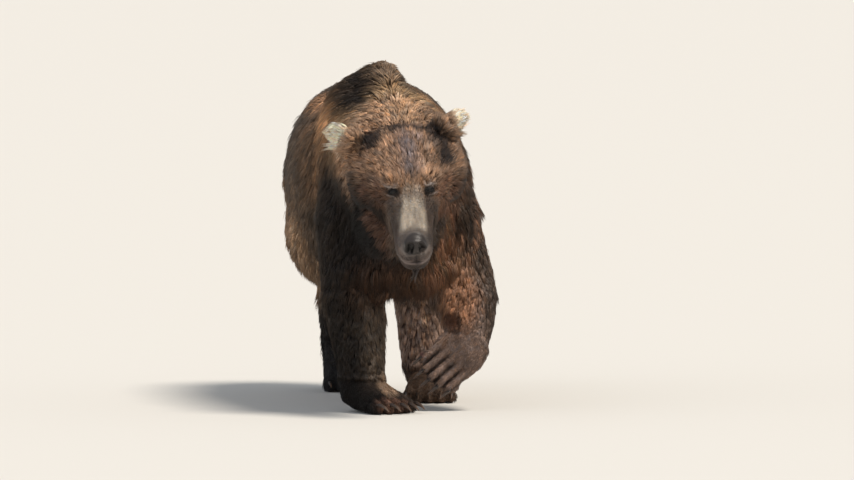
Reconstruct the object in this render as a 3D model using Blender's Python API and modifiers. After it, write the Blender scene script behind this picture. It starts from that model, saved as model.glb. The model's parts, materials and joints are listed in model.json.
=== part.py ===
"""A life-size grizzly bear in mid stride: one named object for each part of its body.

Run with:  blender --background --python part.py

The bear walks towards -Y with its left side at +X, and stands on the floor at Z = 0. Its right
forefoot and both hind feet are down. Its left forefoot is up, swinging inwards. All sizes are in
metres and go out to the tips of the coat.

The body is blocked out from tapered lofts and ellipsoids, made one surface by a voxel remesh,
smoothed, and thinned out by Decimate. Parts are then carved off that surface one after another,
each with a thin gap to what is left.
"""

import math

import bmesh
import bpy
from mathutils import Matrix, Vector

# ---------------------------------------------------------------- driving dimensions
HUMP_TOP = 1.165  # floor to the highest hair of the shoulder hump
BACK_TOP = 1.108  # floor to the line of the back
RUMP_TOP = 1.040
BELLY = 0.395  # floor to the hair under the belly
BRISKET = 0.385  # floor to the hair between the forelegs
RUMP_END = 0.80  # how far the rump reaches behind the middle of the back
CHEST_FRONT = -0.74  # and the chest in front of it

SHOULDER_Y = -0.48  # where the forelegs carry the trunk
HIP_Y = 0.46  # where the hind legs do

HEAD_ORIGIN = Vector((-0.022, -0.835, 0.861))  # midway between the ears
HEAD_DOWN = math.radians(43.5)  # how far the muzzle points below level
HEAD_TILT = math.radians(7.0)  # the left ear is the higher one
HEAD_TURN = math.radians(1)
MUZZLE_REACH = 0.435  # from between the ears to the tip of the nose
MUZZLE_SWING = 0.013  # how far its tip is turned to the right, from the eyes on

EYE_RADIUS = 0.0125
EYE_SIDE = 0.061  # each eye, from the middle plane of the head
EYE_RISE = 0.052  # and above its axis
GAP = 0.0003  # between neighbouring parts
TRUNK_VOXEL = 0.016
LIMB_VOXEL = 0.012
FINE_VOXEL = 0.0055
BODY_TRIANGLES = 3500

COAT = {  # colour, roughness
    "coat_brown": ((0.13, 0.060, 0.028), 0.75),
    "coat_dark": ((0.035, 0.020, 0.013), 0.75),
    "coat_gold": ((0.33, 0.17, 0.07), 0.75),
    "ear_cream": ((0.55, 0.45, 0.30), 0.80),
    "nose_leather": ((0.025, 0.022, 0.024), 0.40),
    "eye_brown": ((0.030, 0.014, 0.007), 0.08),
    "claw_horn": ((0.060, 0.040, 0.028), 0.35),
}


# ---------------------------------------------------------------- shape tools
def along(points, steps=4):
    """Rows of numbers through these rows, on a smooth curve that passes through each of them."""
    rows = [list(p) for p in points]
    rows = [rows[0]] + rows + [rows[-1]]
    made = []
    for a, b, c, d in zip(rows, rows[1:], rows[2:], rows[3:]):
        for k in range(steps):
            t = k / steps
            made.append(
                [
                    q + 0.5 * t * ((r - p) + t * (2 * p - 5 * q + 4 * r - s) + t**2 * (3 * q - p - 3 * r + s))
                    for p, q, r, s in zip(a, b, c, d)
                ]
            )
    return made + [rows[-1]]


def loft(bm, stations, frame=Matrix(), power=2.2, sides=24, steps=4):
    """Adds a closed tapering body to bm. A station is (x, y, z, side, over, under): the centre,
    the half width to each side, and how far it reaches over and under the line of travel."""
    rows = along(stations, steps)
    centres = [Vector(r[:3]) for r in rows]
    rings = []
    for i, (x, y, z, side, over, under) in enumerate(rows):
        ahead = centres[min(i + 1, len(rows) - 1)] - centres[max(i - 1, 0)]
        sideways = Vector((1, 0, 0))
        sideways = (sideways - ahead * (sideways.dot(ahead) / ahead.length_squared)).normalized()
        upwards = ahead.cross(sideways).normalized()
        ring = []
        for k in range(sides):
            turn = 2 * math.pi * k / sides
            c, s = math.cos(turn), math.sin(turn)
            across = math.copysign(abs(c) ** (2 / power), c) * side
            rise = math.copysign(abs(s) ** (2 / power), s) * (over if s > 0 else under)
            ring.append(bm.verts.new(frame @ (centres[i] + sideways * across + upwards * rise)))
        rings.append(ring)
    for lower, upper in zip(rings, rings[1:]):
        for k in range(sides):
            n = (k + 1) % sides
            bm.faces.new((lower[k], upper[k], upper[n], lower[n]))
    bm.faces.new(rings[0])
    bm.faces.new(rings[-1][::-1])


def ball(bm, centre, radii, frame=Matrix(), turn=(0, 0, 0), segments=24):
    """Adds an ellipsoid to bm. turn holds degrees about X, Y and Z."""
    rotation = Matrix.Identity(4)
    for degrees, axis in zip(turn, "XYZ"):
        rotation = Matrix.Rotation(math.radians(degrees), 4, axis) @ rotation
    place = frame @ Matrix.Translation(centre) @ rotation @ Matrix.Diagonal((*radii, 1))
    bmesh.ops.create_uvsphere(bm, u_segments=segments, v_segments=segments * 2 // 3, radius=1, matrix=place)


def box(bm, low, high, frame=Matrix(), grow=0.0):
    """Adds a box between two corners to bm, grown by a gap on every side."""
    low, high = Vector(low) - Vector((grow,) * 3), Vector(high) + Vector((grow,) * 3)
    place = frame @ Matrix.Translation((low + high) / 2) @ Matrix.Diagonal((*(high - low), 1))
    bmesh.ops.create_cube(bm, size=1, matrix=place)


def as_object(bm, name, collection=None):
    bmesh.ops.recalc_face_normals(bm, faces=bm.faces)
    mesh = bpy.data.meshes.new(name)
    bm.to_mesh(mesh)
    bm.free()
    made = bpy.data.objects.new(name, mesh)
    (collection or bpy.context.scene.collection).objects.link(made)
    return made


def evaluated(obj):
    """A new mesh holding the object with its modifiers, which are then cleared."""
    graph = bpy.context.evaluated_depsgraph_get()
    mesh = bpy.data.meshes.new_from_object(obj.evaluated_get(graph))
    obj.modifiers.clear()
    obj.data = mesh
    return obj


def blended(obj, voxel, passes):
    """One smooth skin over the overlapping pieces of obj."""
    remesh = obj.modifiers.new("skin", "REMESH")
    remesh.mode = "VOXEL"
    remesh.voxel_size = voxel
    smooth = obj.modifiers.new("smooth", "SMOOTH")
    smooth.factor = 0.5
    smooth.iterations = passes
    return evaluated(obj)


def thinned(obj, triangles):
    """Fewer triangles, kept where the surface bends most."""
    obj.modifiers.new("split", "TRIANGULATE")
    evaluated(obj)
    fewer = obj.modifiers.new("fewer", "DECIMATE")
    fewer.ratio = triangles / len(obj.data.polygons)
    return evaluated(obj)


def cut(obj, tool, operation):
    """obj with tool taken away, or with only what lies inside tool kept."""
    boolean = obj.modifiers.new("cut", "BOOLEAN")
    boolean.object = tool
    boolean.operation = operation
    boolean.solver = "EXACT"
    evaluated(obj)


def socket(rest, shape):
    """Takes shape, a function of (bmesh, grow), out of rest with a gap all round."""
    bm = bmesh.new()
    shape(bm, GAP)
    tool = as_object(bm, "tool")
    cut(rest, tool, "DIFFERENCE")
    bpy.data.objects.remove(tool)


def carve(rest, name, shape, collection):
    """Parts rest at the surface of shape, a function of (bmesh, grow). What is inside becomes a
    new object, and what is outside stays in rest, a gap away."""
    part = rest.copy()
    part.data = rest.data.copy()
    part.name = name
    collection.objects.link(part)
    for obj, grow, operation in ((part, 0.0, "INTERSECT"), (rest, GAP, "DIFFERENCE")):
        bm = bmesh.new()
        shape(bm, grow)
        tool = as_object(bm, "tool")
        cut(obj, tool, operation)
        bpy.data.objects.remove(tool)
    return part


# ---------------------------------------------------------------- the pose
def facing(origin, ahead, over):
    """A frame at origin whose -Y looks ahead and whose +Z looks over."""
    back = -Vector(ahead).normalized()
    up = Vector(over)
    up = (up - back * up.dot(back)).normalized()
    side = back.cross(up)
    turn = Matrix((side, back, up)).transposed().to_4x4()
    return Matrix.Translation(origin) @ turn


def turned(origin, degrees):
    """A level frame at origin, turned about the vertical towards the bear's left."""
    return Matrix.Translation(origin) @ Matrix.Rotation(math.radians(degrees), 4, "Z")


HEAD = (
    Matrix.Translation(HEAD_ORIGIN)
    @ Matrix.Rotation(HEAD_TURN, 4, "Z")
    @ Matrix.Rotation(HEAD_DOWN, 4, "X")
    @ Matrix.Rotation(-HEAD_TILT, 4, "Y")
)
RIGHT, LEFT = -1, 1
PAWS = {
    "forepaw_right": turned((-0.125, -0.595, 0), 35),
    "forepaw_left": facing((0.222, -0.555, 0.216), (-0.76, -0.12, -0.64), (-0.12, -0.99, 0.08)),
    "hindpaw_left": turned((0.160, -0.020, 0), -6),
    "hindpaw_right": turned((-0.055, 0.640, 0), 4),
}


# ---------------------------------------------------------------- flesh
def trunk(bm):
    """Barrel and rump as one loft from tail to chest, then the masses that stand out of it."""
    profile = (  # y, x, top, bottom, half width
        (RUMP_END - 0.02, 0.0, 0.855, 0.66, 0.080),
        (0.72, 0.0, 0.935, 0.57, 0.150),
        (0.66, 0.0, 0.995, 0.52, 0.190),
        (HIP_Y + 0.12, 0.0, RUMP_TOP, 0.49, 0.228),
        (0.38, -0.005, BACK_TOP - 0.018, BELLY + 0.07, 0.272),
        (0.14, -0.01, BACK_TOP, BELLY + 0.015, 0.300),
        (-0.10, -0.02, BACK_TOP - 0.020, BELLY, 0.300),
        (-0.30, -0.03, BACK_TOP - 0.012, BELLY + 0.005, 0.272),
        (SHOULDER_Y, -0.02, 1.08, BRISKET + 0.01, 0.215),
        (-0.63, -0.01, 1.00, 0.42, 0.180),
        (CHEST_FRONT, -0.01, 0.90, 0.50, 0.120),
    )
    loft(
        bm,
        [(x, y, (top + low) / 2, half, (top - low) / 2, (top - low) / 2) for y, x, top, low, half in profile],
        power=2.25,
        sides=32,
    )
    # The hump leans over the loaded right leg, whose shoulder blade is pushed up.
    ball(bm, (-0.052, -0.45, HUMP_TOP - 0.172), (0.084, 0.25, 0.192), turn=(-6, 0, 0))
    ball(bm, (-0.148, -0.44, 0.908), (0.120, 0.21, 0.232), turn=(0, 6, 0))
    ball(bm, (-0.040, -0.26, 0.950), (0.150, 0.34, 0.185), turn=(-5, 0, 0))  # behind the hump
    ball(bm, (0.130, -0.46, 0.788), (0.118, 0.20, 0.216), turn=(0, -12, 0))
    ball(bm, (-0.010, -0.61, 0.575), (0.165, 0.14, 0.19))  # brisket
    for side in (RIGHT, LEFT):
        ball(bm, (side * 0.120, 0.49, 0.745), (0.160, 0.265, 0.250), turn=(12, 0, 0))  # rump
        ball(bm, (side * 0.122, 0.06, 0.585), (0.197, 0.46, 0.198))  # hanging flank
        ball(bm, (side * 0.165, -0.40, 0.62), (0.098, 0.165, 0.18), turn=(14, 0, 0))  # upper arm


def neck(bm):
    """From the withers down and forwards to the back of the skull, with a deep throat."""
    loft(
        bm,
        (
            (-0.035, -0.42, 0.85, 0.205, 0.250, 0.28),
            (-0.036, -0.57, 0.86, 0.205, 0.215, 0.29),
            (-0.037, -0.69, 0.86, 0.205, 0.182, 0.28),
            (-0.037, -0.79, 0.84, 0.200, 0.155, 0.25),
            (-0.037, -0.88, 0.79, 0.155, 0.115, 0.17),
        ),
    )
    ball(bm, (-0.030, -0.72, 0.665), (0.155, 0.170, 0.175), turn=(20, 0, 0))  # throat


def swung(ahead):
    """The middle of the muzzle, this far ahead of the ears."""
    eyes = 0.17
    return -MUZZLE_SWING * max(0, ahead - eyes) / (MUZZLE_REACH - eyes)


def skull(bm):
    """The head in its own frame, from the nape to the nose, then cheeks, brows, lips and nose."""
    profile = (  # ahead, top, bottom, half width
        (-0.10, 0.055, -0.12, 0.130),
        (-0.04, 0.105, -0.17, 0.168),
        (0.03, 0.130, -0.185, 0.182),
        (0.09, 0.129, -0.176, 0.172),
        (0.140, 0.112, -0.162, 0.146),
        (0.180, 0.090, -0.150, 0.114),
        (0.215, 0.071, -0.140, 0.087),
        (0.260, 0.057, -0.132, 0.072),
        (0.320, 0.047, -0.127, 0.066),
        (0.370, 0.039, -0.122, 0.061),
        (0.408, 0.028, -0.106, 0.052),
        (MUZZLE_REACH - 0.006, 0.010, -0.060, 0.034),
    )
    loft(
        bm,
        [(swung(y), -y, (top + low) / 2, half, (top - low) / 2, (top - low) / 2) for y, top, low, half in profile],
        frame=HEAD,
        power=2.3,
    )
    for side in (RIGHT, LEFT):
        ball(bm, (side * 0.112, -0.040, -0.030), (0.082, 0.120, 0.115), HEAD)  # cheek ruff
        ball(bm, (side * 0.056, -0.160, 0.080), (0.046, 0.046, 0.026), HEAD)  # brow
        ball(bm, (swung(0.365) + side * 0.037, -0.365, -0.050), (0.027, 0.055, 0.044), HEAD)  # upper lip
    ball(bm, (swung(0.412), -0.412, 0.001), (0.038, 0.024, 0.029), HEAD)  # nose
    ball(bm, (swung(0.412), -0.378, -0.104), (0.038, 0.038, 0.026), HEAD)  # chin


def ear_frame(side):
    """The root of an ear, with +Z along the ear and -Y out of its hollow."""
    spread, back, height = (0.172, 0.003, 0.072) if side == RIGHT else (0.126, 0.008, 0.082)
    root = HEAD @ Vector((side * spread, back, height))
    upwards = HEAD.to_3x3() @ Vector((side * 0.78, 0.05, 0.62))
    ahead = HEAD.to_3x3() @ Vector((side * 0.40, -0.90, 0.05))
    return facing(root, ahead, upwards)


def ear(bm, side):
    """A rounded, thick-furred ear that stands on the skull, with its front side hollowed."""
    frame = ear_frame(side)
    ball(bm, (0, 0, 0.048), (0.047, 0.027, 0.056), frame)
    ball(bm, (0, 0.008, 0.010), (0.056, 0.042, 0.046), frame)


def limbs(bm):
    """Each leg is one loft from inside the trunk to the paw: side, front and rear radii."""
    loft(  # right foreleg, planted and nearly upright
        bm,
        (
            (-0.150, -0.47, 0.86, 0.100, 0.15, 0.15),
            (-0.158, -0.49, 0.70, 0.112, 0.16, 0.15),
            (-0.163, -0.49, 0.55, 0.108, 0.130, 0.140),
            (-0.160, -0.515, 0.40, 0.102, 0.108, 0.118),
            (-0.150, -0.545, 0.27, 0.090, 0.088, 0.098),
            (-0.138, -0.570, 0.16, 0.082, 0.078, 0.085),
            (-0.130, -0.585, 0.03, 0.076, 0.070, 0.078),
        ),
    )
    loft(  # left foreleg, drawn forwards with the wrist bent
        bm,
        (
            (0.120, -0.46, 0.80, 0.100, 0.14, 0.14),
            (0.150, -0.47, 0.68, 0.122, 0.15, 0.14),
            (0.182, -0.46, 0.55, 0.118, 0.120, 0.130),
            (0.218, -0.49, 0.43, 0.108, 0.105, 0.110),
            (0.228, -0.55, 0.34, 0.094, 0.088, 0.094),
            (0.222, -0.585, 0.26, 0.082, 0.072, 0.076),
            (0.200, -0.600, 0.190, 0.062, 0.058, 0.060),
        ),
    )
    loft(  # left hind leg, reaching under the belly
        bm,
        (
            (0.120, 0.46, 0.80, 0.120, 0.20, 0.22),
            (0.150, 0.36, 0.66, 0.130, 0.22, 0.23),
            (0.172, 0.22, 0.50, 0.112, 0.16, 0.19),
            (0.160, 0.15, 0.37, 0.092, 0.11, 0.135),
            (0.152, 0.115, 0.25, 0.080, 0.088, 0.100),
            (0.155, 0.090, 0.14, 0.074, 0.086, 0.084),
            (0.158, 0.070, 0.05, 0.060, 0.080, 0.060),
        ),
    )
    loft(  # right hind leg, trailing with its heel off the floor
        bm,
        (
            (-0.110, 0.50, 0.80, 0.120, 0.20, 0.22),
            (-0.112, 0.47, 0.64, 0.118, 0.21, 0.20),
            (-0.096, 0.48, 0.50, 0.098, 0.16, 0.17),
            (-0.074, 0.56, 0.38, 0.078, 0.12, 0.125),
            (-0.066, 0.64, 0.28, 0.072, 0.092, 0.095),
            (-0.060, 0.69, 0.19, 0.065, 0.078, 0.074),
            (-0.057, 0.69, 0.10, 0.060, 0.064, 0.060),
        ),
    )


def toe_places(side, spacing, reach, arch, thickness):
    """(x, ahead, radius) of the five toes, the outer one largest. side is the lateral direction."""
    for digit in range(5):
        off = digit - 2
        yield side * off * spacing, reach - arch * off * off, thickness * (1 + 0.06 * digit)


def paw(bm, name, claw_list):
    """Adds a paw in its own frame: its sole at Z = 0, toes towards -Y. Collects the claws' frames."""
    frame = PAWS[name]
    side = LEFT if name.endswith("left") else RIGHT
    spacing, reach, claw_length = 0.0345, 0.152, 0.050
    arch, thickness, toe_length = 0.0045, 0.0195, 0.042
    if name == "forepaw_left":
        back = (  # x, y, z, side, over, under
            (-0.022, 0.065, 0.055, 0.042, 0.040, 0.050),
            (-0.012, 0.030, 0.056, 0.064, 0.048, 0.056),
            (0, -0.02, 0.052, 0.086, 0.044, 0.056),
            (0, -0.07, 0.042, 0.086, 0.030, 0.046),
            (0, -0.115, 0.032, 0.080, 0.016, 0.034),
        )
        spacing, reach, claw_length = 0.0330, 0.158, 0.058
        arch, thickness, toe_length = 0.0060, 0.0168, 0.060  # slender, and apart
    elif name == "forepaw_right":
        back = (
            (0, 0.035, 0.080, 0.066, 0.050, 0.070),
            (0, -0.02, 0.066, 0.078, 0.048, 0.068),
            (0, -0.07, 0.050, 0.086, 0.040, 0.056),
            (0, -0.115, 0.036, 0.086, 0.030, 0.042),
        )
        spacing, reach, claw_length = 0.0370, 0.156, 0.068
    elif name == "hindpaw_left":
        back = (
            (0, 0.115, 0.052, 0.058, 0.050, 0.058),
            (0, 0.050, 0.054, 0.066, 0.054, 0.060),
            (0, -0.010, 0.050, 0.072, 0.046, 0.056),
            (0, -0.075, 0.042, 0.080, 0.036, 0.048),
            (0, -0.115, 0.034, 0.078, 0.028, 0.040),
        )
    else:
        back = (
            (0, 0.095, 0.160, 0.050, 0.045, 0.050),
            (0, 0.075, 0.130, 0.056, 0.050, 0.055),
            (0, 0.035, 0.092, 0.062, 0.050, 0.056),
            (0, -0.010, 0.062, 0.072, 0.046, 0.058),
            (0, -0.075, 0.042, 0.080, 0.036, 0.048),
            (0, -0.115, 0.034, 0.078, 0.028, 0.040),
        )
    loft(bm, back, frame)
    for x, ahead, radius in toe_places(side, spacing, reach, arch, thickness):
        splay = x * 0.10
        ball(bm, (x, toe_length - 0.008 - ahead, 0.032), (radius, toe_length, 0.028), frame, segments=16)
        ball(bm, (x + splay, -ahead, 0.023), (radius * 0.98, 0.028, 0.027), frame, segments=16)
        turn = Matrix.Rotation(-splay * 2.5, 4, "Z")
        place = frame @ Matrix.Translation((x + splay, -ahead - 0.010, 0.031)) @ turn
        claw_list.append((place, claw_length * (0.92 + 0.04 * (2 - abs(x) / spacing))))


def claw(bm, frame, length, grow=0.0):
    """A claw that leaves the toe level, then curves down to a blunt point: an arc of rings."""
    rings = 4
    bend = math.radians(58)
    rise = math.radians(12)
    radius = length / bend
    stations = []
    for k in range(rings):
        part = k / (rings - 1)
        turn = bend * part - rise
        ahead = radius * (math.sin(turn) + math.sin(rise))
        fall = radius * (math.cos(rise) - math.cos(turn))
        thick = 0.0085 * (1 - part) ** 0.7 + 0.0012 + grow
        stations.append((0, -ahead + grow * (1 - 2 * part), -fall, thick * 0.72, thick, thick * 0.9))
    loft(bm, stations, frame, power=2.0, sides=6, steps=1)


def tail(bm):
    loft(
        bm,
        (
            (0.0, 0.68, 0.83, 0.055, 0.05, 0.05),
            (0.0, 0.765, 0.81, 0.052, 0.042, 0.042),
            (0.0, 0.805, 0.76, 0.046, 0.036, 0.036),
            (0.0, 0.815, 0.71, 0.026, 0.022, 0.022),
        ),
    )


def whole_bear():
    """All flesh as one closed surface standing on the floor, and the frames of the claws."""
    bm = bmesh.new()
    trunk(bm)
    neck(bm)
    body = blended(as_object(bm, "body"), TRUNK_VOXEL, 34)

    bm = bmesh.new()
    bm.from_mesh(body.data)
    bpy.data.objects.remove(body)
    limbs(bm)
    tail(bm)
    body = blended(as_object(bm, "body"), LIMB_VOXEL, 14)

    claws = {}
    bm = bmesh.new()
    bm.from_mesh(body.data)
    bpy.data.objects.remove(body)
    skull(bm)
    for side in (RIGHT, LEFT):
        ear(bm, side)
    for name in PAWS:
        claws[name] = []
        paw(bm, name, claws[name])
    body = blended(as_object(bm, "body"), FINE_VOXEL, 6)
    thinned(body, BODY_TRIANGLES)

    bm = bmesh.new()
    box(bm, (-2, -2, -1), (2, 2, 0))
    floor = as_object(bm, "floor")
    cut(body, floor, "DIFFERENCE")
    bpy.data.objects.remove(floor)
    return body, claws


# ---------------------------------------------------------------- the bear
def boxed(low, high, frame=Matrix()):
    return lambda bm, grow: box(bm, low, high, frame, grow)


def shapes():
    """Where the surface is parted, in the order in which the parts come off it."""
    far = 2.0
    for side, word in ((RIGHT, "right"), (LEFT, "left")):
        yield f"ear_{word}", boxed((-0.07, -0.05, 0.012), (0.07, 0.05, 0.16), ear_frame(side)), "ear_cream"
    yield "nose", boxed((-0.08, -far, -0.026), (0.08, -0.402, 0.10), HEAD), "nose_leather"
    jaw = HEAD @ Matrix.Translation((0, 0, -0.080)) @ Matrix.Rotation(math.radians(-5), 4, "X")
    yield "lower_jaw", boxed((-0.2, -far, -0.12), (0.2, -0.215, 0), jaw), "coat_brown"
    throat = HEAD @ Matrix.Translation((0, 0.050, 0.130)) @ Matrix.Rotation(math.radians(-24), 4, "X")
    yield "head", boxed((-0.5, -far, -0.46), (0.5, 0, 0.5), throat), "coat_gold"
    nape = Matrix.Translation((0, -0.655, 0.85)) @ Matrix.Rotation(math.radians(14), 4, "X")
    yield "neck", boxed((-0.5, -far, -0.34), (0.185, 0, 0.6), nape), "coat_gold"

    yield "forepaw_left", boxed((-0.13, -0.20, -0.10), (0.13, 0.045, 0.13), PAWS["forepaw_left"]), "coat_dark"
    yield "forepaw_right", boxed((-0.40, -far, -1), (0.08, -0.40, 0.13)), "coat_dark"
    for side, word, inner in ((RIGHT, "right", -0.040), (LEFT, "left", 0.105)):
        low, high = sorted((inner, side * 0.60))
        yield f"forearm_{word}", boxed((low, -0.80, -1), (high, -0.33, 0.42)), "coat_dark"
    for side, word in ((RIGHT, "right"), (LEFT, "left")):
        low, high = sorted((side * 0.10, side * 0.60))
        yield f"upper_arm_{word}", boxed((low, -0.90, 0), (high, -0.27, 0.70)), "coat_dark"

    yield "hindpaw_left", boxed((0.02, -0.40, -1), (0.40, 0.30, 0.13)), "coat_dark"
    yield "hindpaw_right", boxed((-0.14, -0.30, -1), (0.14, 0.070, 0.20), PAWS["hindpaw_right"]), "coat_dark"
    for side, word, back in ((RIGHT, "right", 0.34), (LEFT, "left", 0.0)):
        low, high = sorted((0.05, side * 0.60))
        yield f"shank_{word}", boxed((low, back, -1), (high, far, 0.385)), "coat_dark"
    for side, word in ((RIGHT, "right"), (LEFT, "left")):
        low, high = sorted((side * 0.03, side * 0.60))
        yield f"thigh_{word}", boxed((low, 0.22, 0), (high, far, 0.66)), "coat_brown"
    yield "tail", boxed((-0.08, 0.775, 0.60), (0.08, far, 0.86)), "coat_brown"
    yield "hindquarters", boxed((-far, 0.34, 0), (far, far, 2)), "coat_brown"
    yield "barrel", boxed((-far, -0.24, 0), (far, far, 2)), "coat_brown"


def main():
    for old in list(bpy.data.objects):
        bpy.data.objects.remove(old)
    collection = bpy.data.collections.new("grizzly_bear")
    bpy.context.scene.collection.children.link(collection)
    materials = {}
    for name, (colour, roughness) in COAT.items():
        made = bpy.data.materials.new(name)
        made.use_nodes = True
        shader = made.node_tree.nodes["Principled BSDF"]
        shader.inputs["Base Color"].default_value = (*colour, 1)
        shader.inputs["Roughness"].default_value = roughness
        materials[name] = made

    rest, claws = whole_bear()
    bpy.context.scene.collection.objects.unlink(rest)
    collection.objects.link(rest)
    made = {}

    def claimed(obj, material):
        obj.data.materials.clear()
        obj.data.materials.append(materials[material])
        made[obj.name] = obj

    for side, word in ((RIGHT, "right"), (LEFT, "left")):
        found, surface, _, _ = rest.ray_cast(HEAD @ Vector((side * EYE_SIDE, -1, EYE_RISE)), HEAD.col[1].xyz)
        if not found:
            raise SystemExit("no face in front of the eye")
        centre = surface + HEAD.to_3x3() @ Vector((-side * 0.35, 0.90, -0.25)) * (EYE_RADIUS * 0.45)
        eye = lambda bm, grow: ball(bm, centre, (EYE_RADIUS + grow,) * 3, segments=11)
        socket(rest, eye)
        bm = bmesh.new()
        eye(bm, 0)
        claimed(as_object(bm, f"eye_{word}", collection), "eye_brown")
    for paw_name, frames in claws.items():
        for digit, (frame, length) in enumerate(frames, 1):
            nail = lambda bm, grow: claw(bm, frame, length, grow)
            socket(rest, nail)
            bm = bmesh.new()
            nail(bm, 0)
            claimed(as_object(bm, f"claw_{paw_name}_{digit}", collection), "claw_horn")
    for name, shape, material in shapes():
        claimed(carve(rest, name, shape, collection), material)
    rest.name = "shoulders"
    claimed(rest, "coat_brown")

    corners = [obj.matrix_world @ Vector(c) for obj in made.values() for c in obj.bound_box]
    middle = [(min(c[i] for c in corners) + max(c[i] for c in corners)) / 2 for i in range(3)]
    shift = Vector((-middle[0], -middle[1], -min(c[2] for c in corners)))
    for obj in made.values():
        obj.data.transform(Matrix.Translation(shift))
    print("moved by", [round(v, 5) for v in shift])
    for obj in sorted(made.values(), key=lambda o: o.name):
        obj.data.calc_loop_triangles()
        size = [round(v, 3) for v in obj.dimensions]
        print(f"{obj.name:24} {len(obj.data.loop_triangles):6d} triangles  {size}")
    print(len(made), "parts,", sum(len(o.data.loop_triangles) for o in made.values()), "triangles")


main()
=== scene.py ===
# %% [markdown]
# # A grizzly bear, life size, walking
#
# The bear stands as one still figure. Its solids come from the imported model, which holds every
# size and place. This script gives it skin, a coat of fur, eyes, claws, a floor, lights and a camera.
# The empty scene comes first, because a new Blender file holds a cube that would count as part of it.

# %% Start empty and load the solids
import json
import math
from itertools import product

import bmesh
import bpy
import numpy as np
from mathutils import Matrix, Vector
from mathutils.bvhtree import BVHTree
from mathutils.kdtree import KDTree

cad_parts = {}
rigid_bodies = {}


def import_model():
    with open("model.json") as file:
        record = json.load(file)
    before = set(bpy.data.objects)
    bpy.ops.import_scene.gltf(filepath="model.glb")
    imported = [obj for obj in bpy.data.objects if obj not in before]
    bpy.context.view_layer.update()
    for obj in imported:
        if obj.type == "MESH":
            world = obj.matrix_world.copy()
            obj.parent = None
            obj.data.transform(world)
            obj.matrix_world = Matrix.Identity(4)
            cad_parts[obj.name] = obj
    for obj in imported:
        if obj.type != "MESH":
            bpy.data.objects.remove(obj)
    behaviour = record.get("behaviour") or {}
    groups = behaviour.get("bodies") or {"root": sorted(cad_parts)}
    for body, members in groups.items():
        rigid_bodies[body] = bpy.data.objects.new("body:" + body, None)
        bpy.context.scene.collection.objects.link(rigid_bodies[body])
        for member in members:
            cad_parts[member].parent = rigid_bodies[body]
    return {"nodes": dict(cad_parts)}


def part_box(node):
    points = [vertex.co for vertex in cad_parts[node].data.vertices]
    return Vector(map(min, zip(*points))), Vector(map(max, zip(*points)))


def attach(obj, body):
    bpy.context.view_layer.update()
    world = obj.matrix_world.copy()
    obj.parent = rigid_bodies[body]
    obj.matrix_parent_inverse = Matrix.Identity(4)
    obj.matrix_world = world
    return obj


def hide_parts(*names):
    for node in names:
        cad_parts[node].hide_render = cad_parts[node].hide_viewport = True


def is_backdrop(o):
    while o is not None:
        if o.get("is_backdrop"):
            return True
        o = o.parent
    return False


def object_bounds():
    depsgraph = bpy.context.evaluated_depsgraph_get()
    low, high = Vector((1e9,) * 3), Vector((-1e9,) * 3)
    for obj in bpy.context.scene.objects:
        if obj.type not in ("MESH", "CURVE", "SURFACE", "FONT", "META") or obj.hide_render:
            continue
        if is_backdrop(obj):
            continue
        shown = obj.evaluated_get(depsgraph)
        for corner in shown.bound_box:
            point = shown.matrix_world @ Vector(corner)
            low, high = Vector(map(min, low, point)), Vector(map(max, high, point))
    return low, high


for left_over in list(bpy.data.objects):
    bpy.data.objects.remove(left_over)

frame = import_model()
solid_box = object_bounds()
NODES = frame["nodes"]
HARD = ("eye_", "claw_")
FLESH = sorted(name for name in NODES if not name.startswith(HARD))
MM = 0.001


def both(*names):
    """The right and the left part of each name."""
    return tuple(f"{name}_{side}" for name in names for side in ("right", "left"))


def by_part(table, other=None):
    """A table's values in the order of FLESH. A name without its side stands for both sides."""
    return [table.get(name, table.get(name.rsplit("_", 1)[0], other)) for name in FLESH]


print(len(NODES), "solids,", len(FLESH), "of them flesh")

# %% [markdown]
# Everything on the head is placed from three landmarks: the two eyes and the nose. They give an
# origin between the eyes and three directions, so that a place on the face is three small numbers:
# how far to the bear's left, how far ahead towards the nose, and how far out of the brow.

# %% Landmarks of the face
def middle(node):
    low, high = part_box(node)
    return np.array((low + high) / 2)


def unit(vectors):
    vectors = np.asarray(vectors, float)
    return vectors / np.maximum(np.linalg.norm(vectors, axis=-1, keepdims=True), 1e-9)


EYES = {side: middle("eye_" + side) for side in ("right", "left")}
EYE_RADIUS = float((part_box("eye_left")[1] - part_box("eye_left")[0]).z) / 2
NOSE = middle("nose")
BETWEEN_EYES = (EYES["right"] + EYES["left"]) / 2
TO_LEFT = unit(EYES["left"] - EYES["right"])
down_bridge = NOSE - BETWEEN_EYES
AHEAD = unit(down_bridge - TO_LEFT * (down_bridge @ TO_LEFT))
OUT = np.cross(AHEAD, TO_LEFT)
FACE_AXES = np.array([TO_LEFT, AHEAD, OUT])
EYE_SIDE = float(np.linalg.norm(EYES["left"] - EYES["right"])) / 2
NOSE_AHEAD = float(down_bridge @ AHEAD)
SWING = float(down_bridge @ TO_LEFT) / NOSE_AHEAD


def on_face(points):
    """Places as (left, ahead, out) from the point between the eyes. Left counts from the muzzle's middle."""
    places = (points - BETWEEN_EYES) @ FACE_AXES.T
    places[:, 0] -= SWING * np.maximum(0, places[:, 1])
    return places


def from_face(left, ahead, out):
    """A place on the face as a point of the scene."""
    return BETWEEN_EYES + np.array([left + SWING * max(0, ahead), ahead, out]) @ FACE_AXES


print(f"eyes {2000 * EYE_SIDE:.0f} mm apart, nose {1000 * NOSE_AHEAD:.0f} mm ahead of them")

# %% [markdown]
# Four small tools shape nearly everything here. `ramp` goes from 0 to 1 without a corner, `bump_at` is a
# rounded bump about one value, `spot` is a soft-edged blob in space, and `mottle` is a cloudy pattern of
# a chosen size that is the same each run.

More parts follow.
